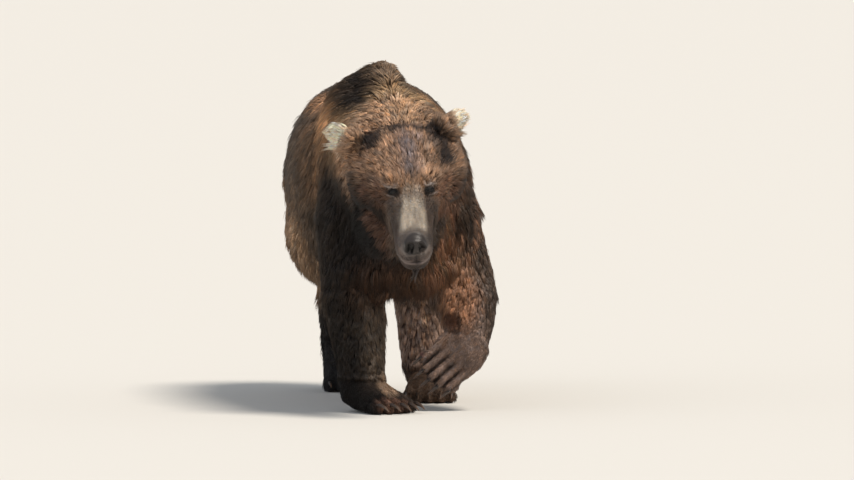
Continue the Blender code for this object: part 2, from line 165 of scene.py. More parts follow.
# %% Soft ramps, bumps, spots and mottling
CELL_MIXERS = (73856093, 19349663, 83492791)
SEED_MIXER, LAST_MIXER = 265443576, 1274126177


def ramp(low, high, values):
    share = np.clip((values - low) / (high - low), 0, 1)
    return share * share * (3 - 2 * share)


def bump_at(values, middle_value, width):
    """1 at the middle value, falling to 0 well away from it."""
    return np.exp(-(((values - middle_value) / width) ** 2))


def spot(points, centre, radii, edge=0.35):
    """1 inside an ellipsoid about the centre, falling to 0 across its soft edge."""
    away = np.linalg.norm((points - np.asarray(centre)) / np.asarray(radii), axis=1)
    return 1 - ramp(1 - edge, 1 + edge, away)


def lattice(cells, seed):
    """A number from 0 to 1 for each cell of space, mixed so that no pattern shows."""
    x, y, z = (cells * CELL_MIXERS).T
    mixed = x ^ y ^ z ^ seed * SEED_MIXER
    mixed = (mixed ^ (mixed >> 13)) * LAST_MIXER & 0x7FFFFFFF
    return ((mixed ^ (mixed >> 16)) & 0xFFFF) / 0xFFFF


def mottle(points, size, seed):
    """Soft blotches about `size` across, from 0 to 1."""
    places = points / size
    cell = np.floor(places).astype(np.int64)
    part = places - cell
    part = part * part * (3 - 2 * part)
    total = np.zeros(len(points))
    for corner in product((0, 1), repeat=3):
        share = np.prod(np.where(corner, part, 1 - part), axis=1)
        total += share * lattice(cell + np.array(corner), seed)
    return total


print("mottling averages", round(float(mottle(np.random.default_rng(1).random((999, 3)), 0.1, 1).mean()), 2))

# %% [markdown]
# A coat is not one length all over. This table says, for each part of the body, how deep the coat
# stands off the skin, how long and how wide a tuft is, how many grow on a square decimetre, and how
# much they stick together in locks, as wet hair does. Depth, length and width are in millimetres, and
# a name without its side stands for both sides.

# %% The coat of each part
COATS = {  # depth, length, width, tufts a square decimetre, lock share
    "nose": (0.5, 2, 1, 0, 0),
    "lower_jaw": (3, 12, 2.0, 900, 0.3),
    "head": (9, 30, 3.0, 900, 0.35),
    "ear": (5, 26, 2.0, 1900, 0.5),
    "neck": (28, 88, 4.6, 780, 0.65),
    "shoulders": (25, 78, 4.8, 500, 0.6),
    "barrel": (24, 76, 5.4, 300, 0.5),
    "hindquarters": (24, 76, 5.6, 280, 0.5),
    "tail": (12, 54, 5.0, 400, 0.5),
    "upper_arm_right": (18, 70, 4.0, 600, 0.6),
    "upper_arm_left": (14, 66, 4.0, 600, 0.8),
    "forearm_right": (8, 46, 2.7, 850, 0.5),
    "forearm_left": (8, 42, 2.6, 880, 0.85),
    "thigh": (18, 64, 5.0, 350, 0.5),
    "shank_right": (9, 46, 3.4, 500, 0.6),
    "shank_left": (8, 44, 2.9, 650, 0.8),
    "forepaw_right": (3, 15, 1.8, 900, 0.2),
    "forepaw_left": (3, 17, 1.6, 1050, 0.4),
    "hindpaw_right": (3, 17, 2.3, 560, 0.2),
    "hindpaw_left": (3, 17, 2.2, 560, 0.3),
}
DEPTH, LENGTH, WIDTH, NUMBER, LOCK = range(5)
print(sum(row is not None for row in by_part(COATS)), "parts have a coat")

# %% [markdown]
# The solids of the flesh touch across hair-thin cuts. Under the fur there is one unbroken skin, so the
# solids are joined, swelled by half a millimetre so that the cuts close, and remeshed with voxels into
# a single surface. Each new point remembers the solid it came from.

# %% Join the flesh into one surface
CUT_OVERLAP = 0.5 * MM
SKIN_VOXEL = 5.5 * MM
scene = bpy.context.scene


def add_object(name, data):
    """A new object of the scene around a mesh, a lamp or a camera."""
    added = bpy.data.objects.new(name, data)
    scene.collection.objects.link(added)
    return added


def with_modifier(piece, kind, **settings):
    """The mesh that the piece becomes through one modifier."""
    modifier = piece.modifiers.new(kind.lower(), kind)
    for key, value in settings.items():
        setattr(modifier, key, value)
    shown = piece.evaluated_get(bpy.context.evaluated_depsgraph_get())
    mesh = bpy.data.meshes.new_from_object(shown)
    bpy.data.objects.remove(piece)
    return mesh


joined = bmesh.new()
part_of_face = joined.faces.layers.int.new("part")
for index, name in enumerate(FLESH):
    first = len(joined.faces)
    joined.from_mesh(NODES[name].data)
    joined.faces.ensure_lookup_table()
    for face in joined.faces[first:]:
        face[part_of_face] = index
bmesh.ops.remove_doubles(joined, verts=joined.verts[:], dist=0.01 * MM)
joined.normal_update()
for vert in joined.verts:
    vert.co += vert.normal * CUT_OVERLAP
solid_tree = BVHTree.FromBMesh(joined)
joined.faces.ensure_lookup_table()
part_index = np.array([face[part_of_face] for face in joined.faces])
flesh = bpy.data.meshes.new("flesh")
joined.to_mesh(flesh)
joined.free()
surface = with_modifier(add_object("flesh", flesh), "REMESH", mode="VOXEL", voxel_size=SKIN_VOXEL)
print("one surface of", len(surface.vertices), "points")

# %% [markdown]
# To work on a surface with many points at once, its points go into arrays, with a table of which
# points lie next to which. `eased` is then one line: every value moves towards its neighbours' mean.

# %% Arrays for the surface
def read(items, field, width, kind=np.float32):
    """One field of all the items of a mesh, a row for each."""
    found = np.empty(len(items) * width, kind)
    items.foreach_get(field, found)
    return found.reshape(-1, width)


def places_of(mesh):
    return read(mesh.vertices, "co", 3, float)


def set_places(mesh, points):
    mesh.vertices.foreach_set("co", np.ascontiguousarray(points, dtype=np.float32).ravel())
    mesh.update()


def normals_of(mesh):
    return read(mesh.vertex_normals, "vector", 3).astype(float)


def neighbours_of(mesh):
    """For each point a row of its neighbours, filled up with the point itself, and how many are real."""
    pairs = read(mesh.edges, "vertices", 2, np.int32)
    pairs = np.concatenate([pairs, pairs[:, ::-1]])
    pairs = pairs[np.argsort(pairs[:, 0], kind="stable")]
    count = np.bincount(pairs[:, 0], minlength=len(mesh.vertices))
    start = np.cumsum(count) - count
    table = np.repeat(np.arange(len(count))[:, None], count.max(), axis=1)
    table[pairs[:, 0], np.arange(len(pairs)) - start[pairs[:, 0]]] = pairs[:, 1]
    return table, count


def eased(values, around, passes, rate=0.5):
    """Values drawn towards their neighbours' mean, a few times over."""
    table, count = around
    spare = table.shape[1] - count
    shape = (-1,) + (1,) * (values.ndim - 1)
    for _ in range(passes):
        mean = (values[table].sum(1) - spare.reshape(shape) * values) / count.reshape(shape)
        values = values + rate * (mean - values)
    return values


def part_at(points):
    """The index in FLESH of the solid nearest to each point."""
    return part_index[[solid_tree.find_nearest(Vector(point))[2] for point in points]]


def is_part(parts, *names):
    """Which of these indices stand for one of the named solids."""
    return np.isin(parts, [FLESH.index(name) for name in names])


places = places_of(surface)
around = neighbours_of(surface)
part = part_at(places)
coat_rows = np.array(by_part(COATS), float)
print("neighbour table", around[0].shape)

# %% [markdown]
# The solids' flat facets are smoothed away, more on the trunk than on the small forms of face and
# feet. Then the surface sinks by the coat's depth, because the solids reach to the tips of the fur
# and the skin lies under it. The depth changes gradually from part to part.

# %% Smooth the surface and sink it by the coat's depth
SMALL_FORMS = ("head", "lower_jaw", "nose", *both("ear"))
FEET = both("forepaw", "hindpaw")
SMOOTHING = {name: 0.16 for name in FEET} | {name: 0.22 for name in SMALL_FORMS}
SMOOTHING_OF_TRUNK = 0.75
SMOOTHING_PASSES = 26
LOWEST_SKIN = 0.0008
smoothing = np.array(by_part(SMOOTHING, SMOOTHING_OF_TRUNK))[part][:, None]
smoothing = eased(smoothing, around, 12)
for _ in range(SMOOTHING_PASSES):
    places = places + smoothing * (eased(places, around, 1, 1.0) - places)
set_places(surface, places)


def face_coat_share(points):
    """0 at the nose to 1 behind the cheeks: hair grows longer with the distance from the nose."""
    return ramp(0.05, 0.36, np.linalg.norm(points - NOSE, axis=1))


is_head = is_part(part, "head", "lower_jaw")
depth = coat_rows[part, DEPTH] * MM
depth = np.where(is_head, (1.2 + 12 * face_coat_share(places)) * MM, depth)
for centre in EYES.values():
    depth *= 0.12 + 0.88 * ramp(0.025, 0.075, np.linalg.norm(places - centre, axis=1))
depth *= 1 - 0.85 * ramp(0.02, 0.0, places[:, 2])
depth = eased(depth, around, 14)
leaning = unit(eased(normals_of(surface), around, 6))
places = eased(places - leaning * depth[:, None], around, 2, 0.3)
places[:, 2] = np.maximum(places[:, 2], LOWEST_SKIN)
set_places(surface, places)
print(f"the skin lies {1000 * depth.min():.1f} to {1000 * depth.max():.0f} mm inside the solids")

# %% [markdown]
# The voxels are small enough for toes and eyelids, which is far more than a flank needs under its fur.
# A collapse that is held back by a vertex group thins the trunk and leaves the head and feet fine.
# The skin is unwrapped now, while it is light, and later cuts in its edges carry the map along.

# %% Thin the trunk and unwrap the skin
SKIN_POINTS = 50000
WEIGHT_STEPS = 20
fine = is_part(part, *SMALL_FORMS, *FEET).astype(float)
collapse_weight = 1 - 0.96 * eased(fine, around, 10)
thinning = add_object("thinning", surface)
group = thinning.vertex_groups.new(name="collapse")
for step in range(WEIGHT_STEPS + 1):
    at_step = np.flatnonzero(np.round(collapse_weight * WEIGHT_STEPS) == step)
    group.add(at_step.tolist(), step / WEIGHT_STEPS, "REPLACE")
hide = with_modifier(
    thinning, "DECIMATE", ratio=SKIN_POINTS / len(places), vertex_group="collapse", vertex_group_factor=1.0
)
hide.name = "skin"
skin = add_object("skin", hide)
skin.vertex_groups.clear()
hide.shade_smooth()
bpy.context.view_layer.objects.active = skin
bpy.ops.object.mode_set(mode="EDIT")
bpy.ops.mesh.select_all(action="SELECT")
bpy.ops.uv.smart_project(angle_limit=math.radians(66), island_margin=0.002)
bpy.ops.object.mode_set(mode="OBJECT")
hide.uv_layers.active.name = "OFBake"
print("skin of", len(hide.vertices), "points and", len(hide.polygons), "faces, unwrapped")

# %% [markdown]
# Eyelids, nostrils and lips need points closer than two millimetres. Edges are cut in half around
# them, three times round the eyes and twice over the end of the muzzle, and the fresh points are
# eased so that the new triangles are round and not kinked.

# %% Finer skin round the eyes, nose and mouth
NOSE_TIP = from_face(0, 0.235, -0.01)
MOUTH_FRONT = np.array([0.250, -0.031])
MOUTH_SLOPE = 0.37
REACHES = (0.046, 0.075, 0.016), (0.032, 0.066, 0.011), (0.021, 0.0, 0.0)  # round eyes, nose, mouth


def halve_edges(mesh, chosen):
    """Cuts every edge whose two ends are both chosen."""
    mesh_edit = bmesh.new()
    mesh_edit.from_mesh(mesh)
    edges = [edge for edge in mesh_edit.edges if all(chosen[vert.index] for vert in edge.verts)]
    bmesh.ops.subdivide_edges(mesh_edit, edges=edges, cuts=1, use_grid_fill=True)
    bmesh.ops.triangulate(mesh_edit, faces=[face for face in mesh_edit.faces if len(face.verts) > 3])
    mesh_edit.to_mesh(mesh)
    mesh_edit.free()


def mouth_height(ahead):
    """How far out of the face the lips meet, at each distance ahead of the eyes."""
    return MOUTH_FRONT[1] - MOUTH_SLOPE * (MOUTH_FRONT[0] - ahead)


def near_features(points, eye_reach, nose_reach, mouth_reach):
    left, ahead, out = on_face(points).T
    chosen = np.linalg.norm(points - NOSE_TIP, axis=1) < nose_reach
    chosen |= (np.abs(out - mouth_height(ahead)) < mouth_reach) & (ahead > 0.03) & (np.abs(left) < 0.1)
    for centre in EYES.values():
        chosen |= np.linalg.norm(points - centre, axis=1) < eye_reach
    return chosen


for reaches in REACHES:
    halve_edges(hide, near_features(places_of(hide), *reaches))
    places = places_of(hide)
    near = near_features(places, *reaches)
    around = neighbours_of(hide)
    set_places(hide, np.where(near[:, None], eased(places, around, 2), places))
places = places_of(hide)
around = neighbours_of(hide)
print("skin of", len(hide.vertices), "points and", len(hide.polygons), "faces")

# %% [markdown]
# A bear's eyelids are thick and nearly hide the ball. Round each eye the skin is laid over the ball as
# a shell, and inside an almond it is pushed behind the ball, so that the rim of the lids stands
# round a real opening. A fold above and a bag below keep the eye from looking stuck on.

# %% Eyelids
LID = 1.6 * MM
OPENING_HALF = 12 * MM
OPENING_UP = 3.7 * MM
OPENING_DOWN = 3.2 * MM


def eye_axes(side):
    """Across the lids towards the outer corner, up over the ball, and out of the head."""
    sign = 1 if side == "left" else -1
    gaze = unit(OUT * 0.80 + AHEAD * 0.26 + TO_LEFT * sign * 0.46)
    across = unit(TO_LEFT * sign * 0.94 - AHEAD * 0.30)
    across = unit(across - gaze * (across @ gaze))
    up = np.cross(gaze, across)
    return across, -up if up @ AHEAD > 0 else up, gaze


def lid_coordinates(points, side):
    across, up, gaze = eye_axes(side)
    return (points - EYES[side]) @ np.array([across, up, gaze]).T


def opening_share(h, v):
    """1 inside the almond between the lids."""
    bow = np.sqrt(np.clip(1 - (h / OPENING_HALF) ** 2, 0, 1))
    reach = np.where(v > 0, OPENING_UP, OPENING_DOWN) * bow + 0.05 * MM
    return np.where(np.abs(h) < OPENING_HALF, 1 - ramp(0.92, 1.12, np.abs(v) / reach), 0)


def lay_lids(points, side):
    """Lays the skin over the ball, sinks it inside the almond, and raises brow, fold and bag."""
    h, v, w = lid_coordinates(points, side).T
    radius = np.hypot(h, v)
    near = (1 - ramp(28 * MM, 42 * MM, radius)) * ramp(-24 * MM, -12 * MM, w)
    over_ball = np.sqrt(np.clip((EYE_RADIUS + LID) ** 2 - radius**2, 0, None))
    sunk = np.sqrt(np.clip(EYE_RADIUS**2 - radius**2, 0, None)) - 3.2 * MM
    hold = 1 - ramp(8 * MM, 24 * MM, radius)
    mound = 13.5 * MM - 0.30 * radius
    wanted = w + hold * (np.maximum(over_ball, mound) - w)
    fold_over = bump_at(v, 12.5 * MM, 2.2 * MM) * (1 - ramp(8 * MM, 17 * MM, np.abs(h)))
    brow = bump_at(v, 19 * MM, 6 * MM) * (1 - ramp(12 * MM, 26 * MM, np.abs(h)))
    bag = bump_at(v, -11 * MM, 2.0 * MM) * (1 - ramp(6 * MM, 14 * MM, np.abs(h)))
    rim = bump_at(radius, 9 * MM, 3 * MM) * 0.6 * MM
    wanted += brow * 2.8 * MM - fold_over * 2.4 * MM - bag * 1.6 * MM + rim
    wanted = wanted + opening_share(h, v) * (np.minimum(sunk, wanted) - wanted)
    return points + (near * (wanted - w))[:, None] * eye_axes(side)[2]


for side in EYES:
    places = lay_lids(places, side)
set_places(hide, places)
print(f"openings {2000 * OPENING_HALF:.0f} by {1000 * (OPENING_UP + OPENING_DOWN):.1f} mm")

# %% [markdown]
# The nose is a pad of bare, pebbled leather round two comma-shaped nostrils. Below it a groove splits
# the upper lip, and the mouth runs back along both sides. All of these are dents or swellings along
# the skin's own normals, each fading out over a few millimetres.

# %% Nose, lips and folds of the muzzle
PAD_AHEAD, PAD_HALF_WIDTH, PAD_HALF_LENGTH = 0.208, 0.044, 0.043
NOSTRIL_SIDE, NOSTRIL_AHEAD = 20.5 * MM, 0.216
PAD_PROUD, NOSTRIL_DEPTH, GROOVE_DEPTH, LIP_PROUD = 1.6 * MM, 15 * MM, 2.6 * MM, 2.0 * MM
SNARL_DEPTH, TEAR_DEPTH = 1.6 * MM, 5.0 * MM


def from_pad(left, ahead):
    """How far a place is from the middle of the nose pad: 1 at its edge."""
    return np.sqrt((left / PAD_HALF_WIDTH) ** 2 + ((ahead - PAD_AHEAD) / PAD_HALF_LENGTH) ** 2)


def nose_shares(points):
    """Shares of the pad, the nostrils and the groove under them."""
    left, ahead, out = on_face(points).T
    side = np.abs(left)
    pad = 1 - ramp(0.80, 1.12, from_pad(left, ahead))
    pad *= ramp(-0.016, -0.008, out)
    hole = np.sqrt(((side - NOSTRIL_SIDE) / (16 * MM)) ** 2 + ((ahead - NOSTRIL_AHEAD) / (15 * MM)) ** 2)
    slit_middle = NOSTRIL_SIDE + 9 * MM + 0.4 * (0.232 - ahead)
    slit = np.sqrt(((side - slit_middle) / (3.2 * MM)) ** 2 + ((ahead - 0.230) / (9 * MM)) ** 2)
    nostril = np.maximum(1 - ramp(0.60, 1.05, hole), 0.55 * (1 - ramp(0.4, 1.1, slit)))
    nostril *= ramp(-0.018, -0.008, out)
    groove = bump_at(left, 0, 1.8 * MM) * ramp(0.222, 0.232, ahead) * ramp(-0.034, -0.026, out)
    return pad, nostril, groove


def lip_shares(points):
    """Shares of the gap between the lips and of the bare rims along it."""
    left, ahead, out = on_face(points).T
    off = out - mouth_height(ahead)
    along = ramp(0.045, 0.075, ahead)
    front = ramp(0.20, 0.245, ahead)
    middle_front = front * bump_at(left, 0, 16 * MM)
    gap = bump_at(off, 0, (1.2 + 4.3 * middle_front) * MM) * along
    gap *= 1 - 0.75 * (1 - middle_front)
    rims = bump_at(off, 0, (4 + 6 * front) * MM) * along * (0.45 + 0.55 * front)
    return gap, rims


def carve_muzzle(points, normals):
    """Pushes the skin in and out along its normals: pad, nostrils, lips, and folds of the snout."""
    left, ahead, out = on_face(points).T
    side = np.abs(left)
    pad, nostril, groove = nose_shares(points)
    gap, rims = lip_shares(points)
    gap_depth = (4 + 6 * ramp(0.2, 0.245, ahead) * bump_at(left, 0, 0.02)) * MM
    snarl = bump_at(ahead + 0.35 * side, 0.172, 3 * MM) + bump_at(ahead + 0.3 * side, 0.158, 3 * MM)
    snarl *= ramp(0.008, 0.025, side) * ramp(-0.05, -0.01, out)
    tear = bump_at(side, 0.040 + 0.10 * ahead, 7 * MM) * ramp(-0.005, 0.03, ahead)
    tear *= (1 - ramp(0.10, 0.17, ahead)) * (out > -0.05)
    push = PAD_PROUD * pad - NOSTRIL_DEPTH * nostril - GROOVE_DEPTH * groove
    push += ramp(0.02, 0.06, ahead) * (out > -0.18) * (LIP_PROUD * rims - gap_depth * gap)
    push -= SNARL_DEPTH * snarl + TEAR_DEPTH * tear
    return points + push[:, None] * normals


places = carve_muzzle(places, unit(eased(normals_of(hide), around, 2)))
set_places(hide, places)
print(f"nostrils {2000 * NOSTRIL_SIDE:.0f} mm apart")

# %% [markdown]
# Ears are cups. The solid ear is a plain lobe, so the skin on its front is pressed in, deepest in the
# middle and not at all on the rim. Toes get the same treatment: a ridge along each toe, from the
# wrist to its claw, with grooves between, which shows through wet fur on the lifted forepaw.

# %% Cupped ears and ridged toes
CUP_DEPTH = 13 * MM
RIDGE = 3.0 * MM
GROOVE = 3.5 * MM


def ear_axes(side):
    """The middle of an ear, the way it points, the way its cup faces and the way out from the head."""
    low, high = (np.array(corner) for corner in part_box("ear_" + side))
    outwards = TO_LEFT * (1 if side == "left" else -1)
    tip = unit(outwards * 0.62 - AHEAD * 0.78)
    facing = unit(OUT * 0.80 + AHEAD * 0.35 + outwards * 0.35)
    return (low + high) / 2, tip, unit(facing - tip * (facing @ tip)), outwards


def press_cup(points, side):
    centre, tip, facing, _ = ear_axes(side)
    offset = points - centre
    along, out = offset @ tip, offset @ facing
    across = offset @ np.cross(tip, facing)
    round_cup = np.sqrt((across / 0.040) ** 2 + ((along - 0.004) / 0.044) ** 2)
    share = (1 - ramp(0.35, 1.0, round_cup)) * ramp(-0.006, 0.006, out) * ramp(0.075, 0.06, out)
    return points - (share * CUP_DEPTH)[:, None] * facing


FOOT_AHEAD = {
    "forepaw_right": (0.574, -0.819, 0), "forepaw_left": (-0.76, -0.12, -0.64),
    "hindpaw_right": (0.07, -1, 0), "hindpaw_left": (-0.105, -0.995, 0),
}
FOOT_OVER = {foot: (0, 0, 1) for foot in FEET} | {"forepaw_left": (-0.12, -0.99, 0.08)}
TOE_RELIEF = {"forepaw_left": (4 * MM, 8 * MM), "forepaw_right": (5 * MM, 9 * MM)}  # ridge, groove
CLAW_NUMBERS = range(1, 6)


def toe_share(points, foot):
    """1 along the toes of a foot, -1 between them, and 0 away from them."""
    claws = np.array([middle(f"claw_{foot}_{number}") for number in CLAW_NUMBERS])
    forward = unit(FOOT_AHEAD[foot])
    spread = claws[4] - claws[0]
    across = unit(spread - forward * (spread @ forward))
    over = np.cross(across, forward)
    over *= np.sign(over @ FOOT_OVER[foot])
    offset = points - claws[2]
    ahead, aside = offset @ forward, offset @ across
    spacing = np.linalg.norm(spread) / 4 * (0.90 + 0.10 * ramp(-0.06, 0, ahead))
    wave = np.cos(2 * np.pi * aside / spacing)
    inside = 1 - ramp(2.3, 2.7, np.abs(aside) / spacing)
    low, high = (np.array(corner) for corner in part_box(foot))
    near = np.linalg.norm(np.maximum(0, np.maximum(low - points, points - high)), axis=1) < 0.004
    return wave * inside * ramp(-0.135, -0.09, ahead) * near * ramp(-0.03, -0.012, offset @ over)


for side in EYES:
    places = press_cup(places, side)
set_places(hide, places)
outward = unit(eased(normals_of(hide), around, 3))
toes = np.zeros(len(places))
for foot in FEET:
    share = toe_share(places, foot)
    ridge, groove = TOE_RELIEF.get(foot, (RIDGE, GROOVE))
    places = places + outward * (np.maximum(share, 0) * ridge + np.minimum(share, 0) * groove)[:, None]
    toes += share
places[:, 2] = np.maximum(places[:, 2], LOWEST_SKIN)
set_places(hide, places)
normals = normals_of(hide)
print(f"ears cupped {1000 * CUP_DEPTH:.0f} mm, toes ridged {1000 * RIDGE:.0f} mm")

# %% [markdown]
# From here on each skin point knows its part, and every quality of the coat becomes a smooth value
# over the skin. The head has its own rule, because its hair grows longer with the distance from the
# nose. It grows longer too towards the tips of the ears and about their roots.

# %% Qualities of the coat over the skin
part = part_at(places)
left, ahead, out = on_face(places).T


def in_parts(*names):
    return is_part(part, *names).astype(float)


def near_eyes(points, inner, outer):
    nearest = np.min([np.linalg.norm(points - centre, axis=1) for centre in EYES.values()], axis=0)
    return 1 - ramp(inner, outer, nearest)


def lid_rim(side, inner, outer, shift, half_height):
    """1 on the bare rim of the lids, an ellipse about the opening, falling to 0 from inner to outer."""
    h, v, w = lid_coordinates(places, side).T
    near = (np.hypot(h, v) < 0.03) & (w > -0.02)
    return np.where(near, 1 - ramp(inner, outer, np.hypot((h + shift) / 0.0115, v / half_height)), 0)


coat = coat_rows[part].copy()
head_share = in_parts("head", "lower_jaw")
from_nose = face_coat_share(places)
coat_of_head = {
    LENGTH: 6 + 46 * from_nose**1.5,
    DEPTH: 1.0 + 13 * from_nose**1.4,
    WIDTH: 1.1 + 2.2 * from_nose,
    NUMBER: 3400 - 2500 * from_nose,
    LOCK: 0.15 + 0.45 * from_nose,
}
for quality, values in coat_of_head.items():
    coat[:, quality] = np.where(head_share > 0, values, coat[:, quality])
for side in EYES:
    centre, tip, _, _ = ear_axes(side)
    coat[:, LENGTH] += 6 * ramp(0.0, 0.034, (places - centre) @ tip) * in_parts("ear_" + side)
    coat[:, LENGTH] += 14 * spot(places, centre - tip * 0.055, (0.055, 0.055, 0.055)) * head_share
coat = eased(coat, around, 10)
coat = coat + in_parts("forearm_left", "forepaw_left")[:, None] * (eased(coat, around, 30) - coat)
print(f"hair {coat[:, LENGTH].mean():.0f} mm long in the mean over the skin's points")

# %% [markdown]
# Some places differ from the rest of their part: a tuft stands up on the hump, a lock hangs under the
# chin, and fringes hang at the jowls, behind and between the legs, and below the belly. Round the eyes
# the hair is short. The nose, the lips, the rims of the lids and the soles are bare, with no tufts.

# %% Places with a coat of their own
hump_tuft = spot(places, (-0.052, -0.43, 1.14), (0.034, 0.08, 0.05))
flat_fur = spot(places, (0.030, -0.42, 1.11), (0.055, 0.15, 0.06))
flat_fur += spot(places, (0.29, -0.42, 0.67), (0.06, 0.15, 0.10))
coat[:, DEPTH] += 14 * hump_tuft - 9 * flat_fur
coat[:, LENGTH] -= 30 * hump_tuft + 22 * flat_fur
chin = spot(places, from_face(-0.003, 0.250, -0.066), (0.009, 0.012, 0.012))
coat[:, LENGTH] += 46 * chin
coat[:, DEPTH] += 30 * chin
coat[:, LOCK] += 0.8 * chin
jowls = sum(spot(places, from_face(sign * 0.095, 0.030, -0.085), (0.05, 0.07, 0.05)) for sign in (-1, 1))
jowls = jowls * head_share
coat[:, LENGTH] += 30 * jowls
coat[:, DEPTH] += 5 * jowls
behind = ramp(0.0, 0.6, normals[:, 1]) * in_parts(*both("forearm", "upper_arm", "shank"))
coat[:, LENGTH] *= 1 + 1.0 * eased(behind, around, 6)
coat[:, [LENGTH, DEPTH]] *= (1 - 0.60 * near_eyes(places, 0.016, 0.045))[:, None]
trunk_share = in_parts("barrel", "shoulders", "hindquarters", *both("thigh", "upper_arm"))
under = ramp(-0.30, -0.80, normals[:, 2]) * trunk_share
coat[:, LENGTH] *= 1 + 0.5 * eased(under, around, 4)
between_legs = spot(places, (0.0, -0.40, 0.40), (0.16, 0.25, 0.15)) * ramp(0.3, 0.8, np.abs(normals[:, 0]))
coat[:, LENGTH] *= 1 + 0.5 * between_legs
coat[:, DEPTH] += 16 * between_legs
coat[:, LENGTH] *= 1 - 0.35 * np.maximum(0, toes)
pad, nostril, groove = nose_shares(places)
gap, rims = lip_shares(places)
on_muzzle = head_share * ramp(0.03, 0.06, ahead)
lips = np.clip(rims * on_muzzle, 0, 1)
sole = ramp(0.012, 0.004, places[:, 2]) * ramp(-0.3, -0.7, normals[:, 2])
bare = np.clip(np.maximum.reduce([pad, nostril, groove * on_muzzle, lips * 0.9, sole]), 0, 1)
for side in EYES:
    bare = np.maximum(bare, lid_rim(side, 1.25, 1.9, 0, 0.0062))
coat[:, NUMBER] *= 1 - ramp(0.35, 0.65, bare)
print(f"hair {coat[:, LENGTH].min():.0f} to {coat[:, LENGTH].max():.0f} mm long")

# %% [markdown]
# Hair does not point straight out. It starts from the nose, runs over the face and neck, lies back
# and down along the trunk and down the legs, and ends over the toes. A direction for each part is
# laid on the skin and smoothed, which is how the flow turns gradually from one part to the next.

# %% The lie of the coat
LIE = {
    "barrel": (0, 0.85, -0.55), "hindquarters": (0, 0.75, -0.75), "shoulders": (0, 0.62, -0.80),
    "tail": (0, 0.35, -1.0), "upper_arm_right": (0, 0.28, -1), "upper_arm_left": (0, 0.22, -1),
    "forearm_right": (0, 0.16, -1), "forearm_left": (-0.12, 0.10, -1), "thigh": (0, 0.40, -1),
    "shank_right": (0, 0.22, -1), "shank_left": (0, 0.16, -1),
    "forepaw_right": (0.1, -0.9, -0.55), "hindpaw": (0, -0.9, -0.5),
}  # left, back, up
CROWN = from_face(0, -0.20, -0.06)
lie = np.array(by_part(LIE, (0, 0, 0)), float)[part]
from_crown = unit(places - CROWN)
head_lie = unit(places - NOSE) + from_crown * 0.35 * ramp(-0.02, -0.12, ahead)[:, None]
head_lie += np.array([0, 0, -0.45]) * ramp(-0.03, -0.12, out)[:, None] * ramp(0.12, 0.0, ahead)[:, None]
head_lie += np.array([0, -0.3, -2.0]) * (jowls + 2 * chin)[:, None]
toward_claws = middle("claw_forepaw_left_3") - middle("forepaw_left")
own_lie = {
    "neck": from_crown * 0.9 + np.array([0, 0.35, -0.55]),
    "head": head_lie,
    "lower_jaw": head_lie,
    "forepaw_left": np.broadcast_to(unit(toward_claws), places.shape),
}
for side in EYES:
    centre, tip, _, outwards = ear_axes(side)
    own_lie["ear_" + side] = unit(places - centre + tip * 0.03) + outwards * 0.5 + np.array([0, 0, -0.25])
for name, ways in own_lie.items():
    lie = np.where(in_parts(name)[:, None] > 0, ways, lie)


def along_skin(vectors, normals):
    return vectors - normals * np.sum(vectors * normals, axis=1, keepdims=True)


for _ in range(7):
    lie = unit(along_skin(eased(lie, around, 4), normals))
print("the coat lies back on the trunk:", lie[part == FLESH.index("barrel")].mean(0).round(2))

# %% [markdown]
# The markings are painted in space, one soft stroke after another, over a ground colour for each part.
# A stroke has a share for every point, from 0 to 1, so its edge can be as soft or as broken as hair.
# Colours are written as on a screen, and a function turns them into light, which can be mixed.

# %% Ground colours and paint
GROUND = {
    "head": "7A5C44", "lower_jaw": "463A34", "nose": "3A3230", "ear": "B39A7E", "neck": "8A6A4A",
    "shoulders": "5A4634", "barrel": "544940", "hindquarters": "4C4239", "tail": "483A2D",
    "upper_arm_right": "52483F", "forearm_right": "6C5E51", "forepaw_right": "43372F",
    # The left forearm's and forepaw's pale grounds are their wet grey-brown coat with painted light, for the
    # sunlit side.
    "upper_arm_left": "4C3E33", "forearm_left": "7E6C62", "forepaw_left": "8C766A",
    "thigh": "4F4034", "shank_right": "332D29", "hindpaw_right": "322F2D",
    # The left shank's pale ground is its brown coat lightened by painted light, making up for the body's
    # shade on the sunlit wet leg.
    "shank_left": "A88C7C", "hindpaw_left": "5A4638",
}
GOLD, TAN, RUST, CREAM = "B09270", "8F7558", "8E6648", "FFEBD2"
BEIGE, GREY, DUSK, BLACK = "C4B8A8", "6E6568", "3A2F2A", "15110F"
UMBER, WARM, LILAC = "2C231D", "A38468", "70655F"


def linear(hex_colour):
    """An sRGB hex colour as linear light, which is what shaders and colour attributes hold."""
    srgb = np.array([int(hex_colour[place : place + 2], 16) for place in (0, 2, 4)]) / 255
    return np.where(srgb <= 0.04045, srgb / 12.92, ((srgb + 0.055) / 1.055) ** 2.4)


def paint(colours, *strokes):
    """Lays strokes one over another. Each is a share for every point, a colour and a strength."""
    for share, hex_colour, strength in strokes:
        share = np.clip(share * strength, 0, 1)[:, None]
        colours = colours + share * (linear(hex_colour) - colours)
    return colours


def streaks(points, size, stretch, seed):
    """Blotches drawn out along one axis, as locks are."""
    return mottle(points * np.asarray(stretch), size, seed)


print(len(GROUND), "ground colours")
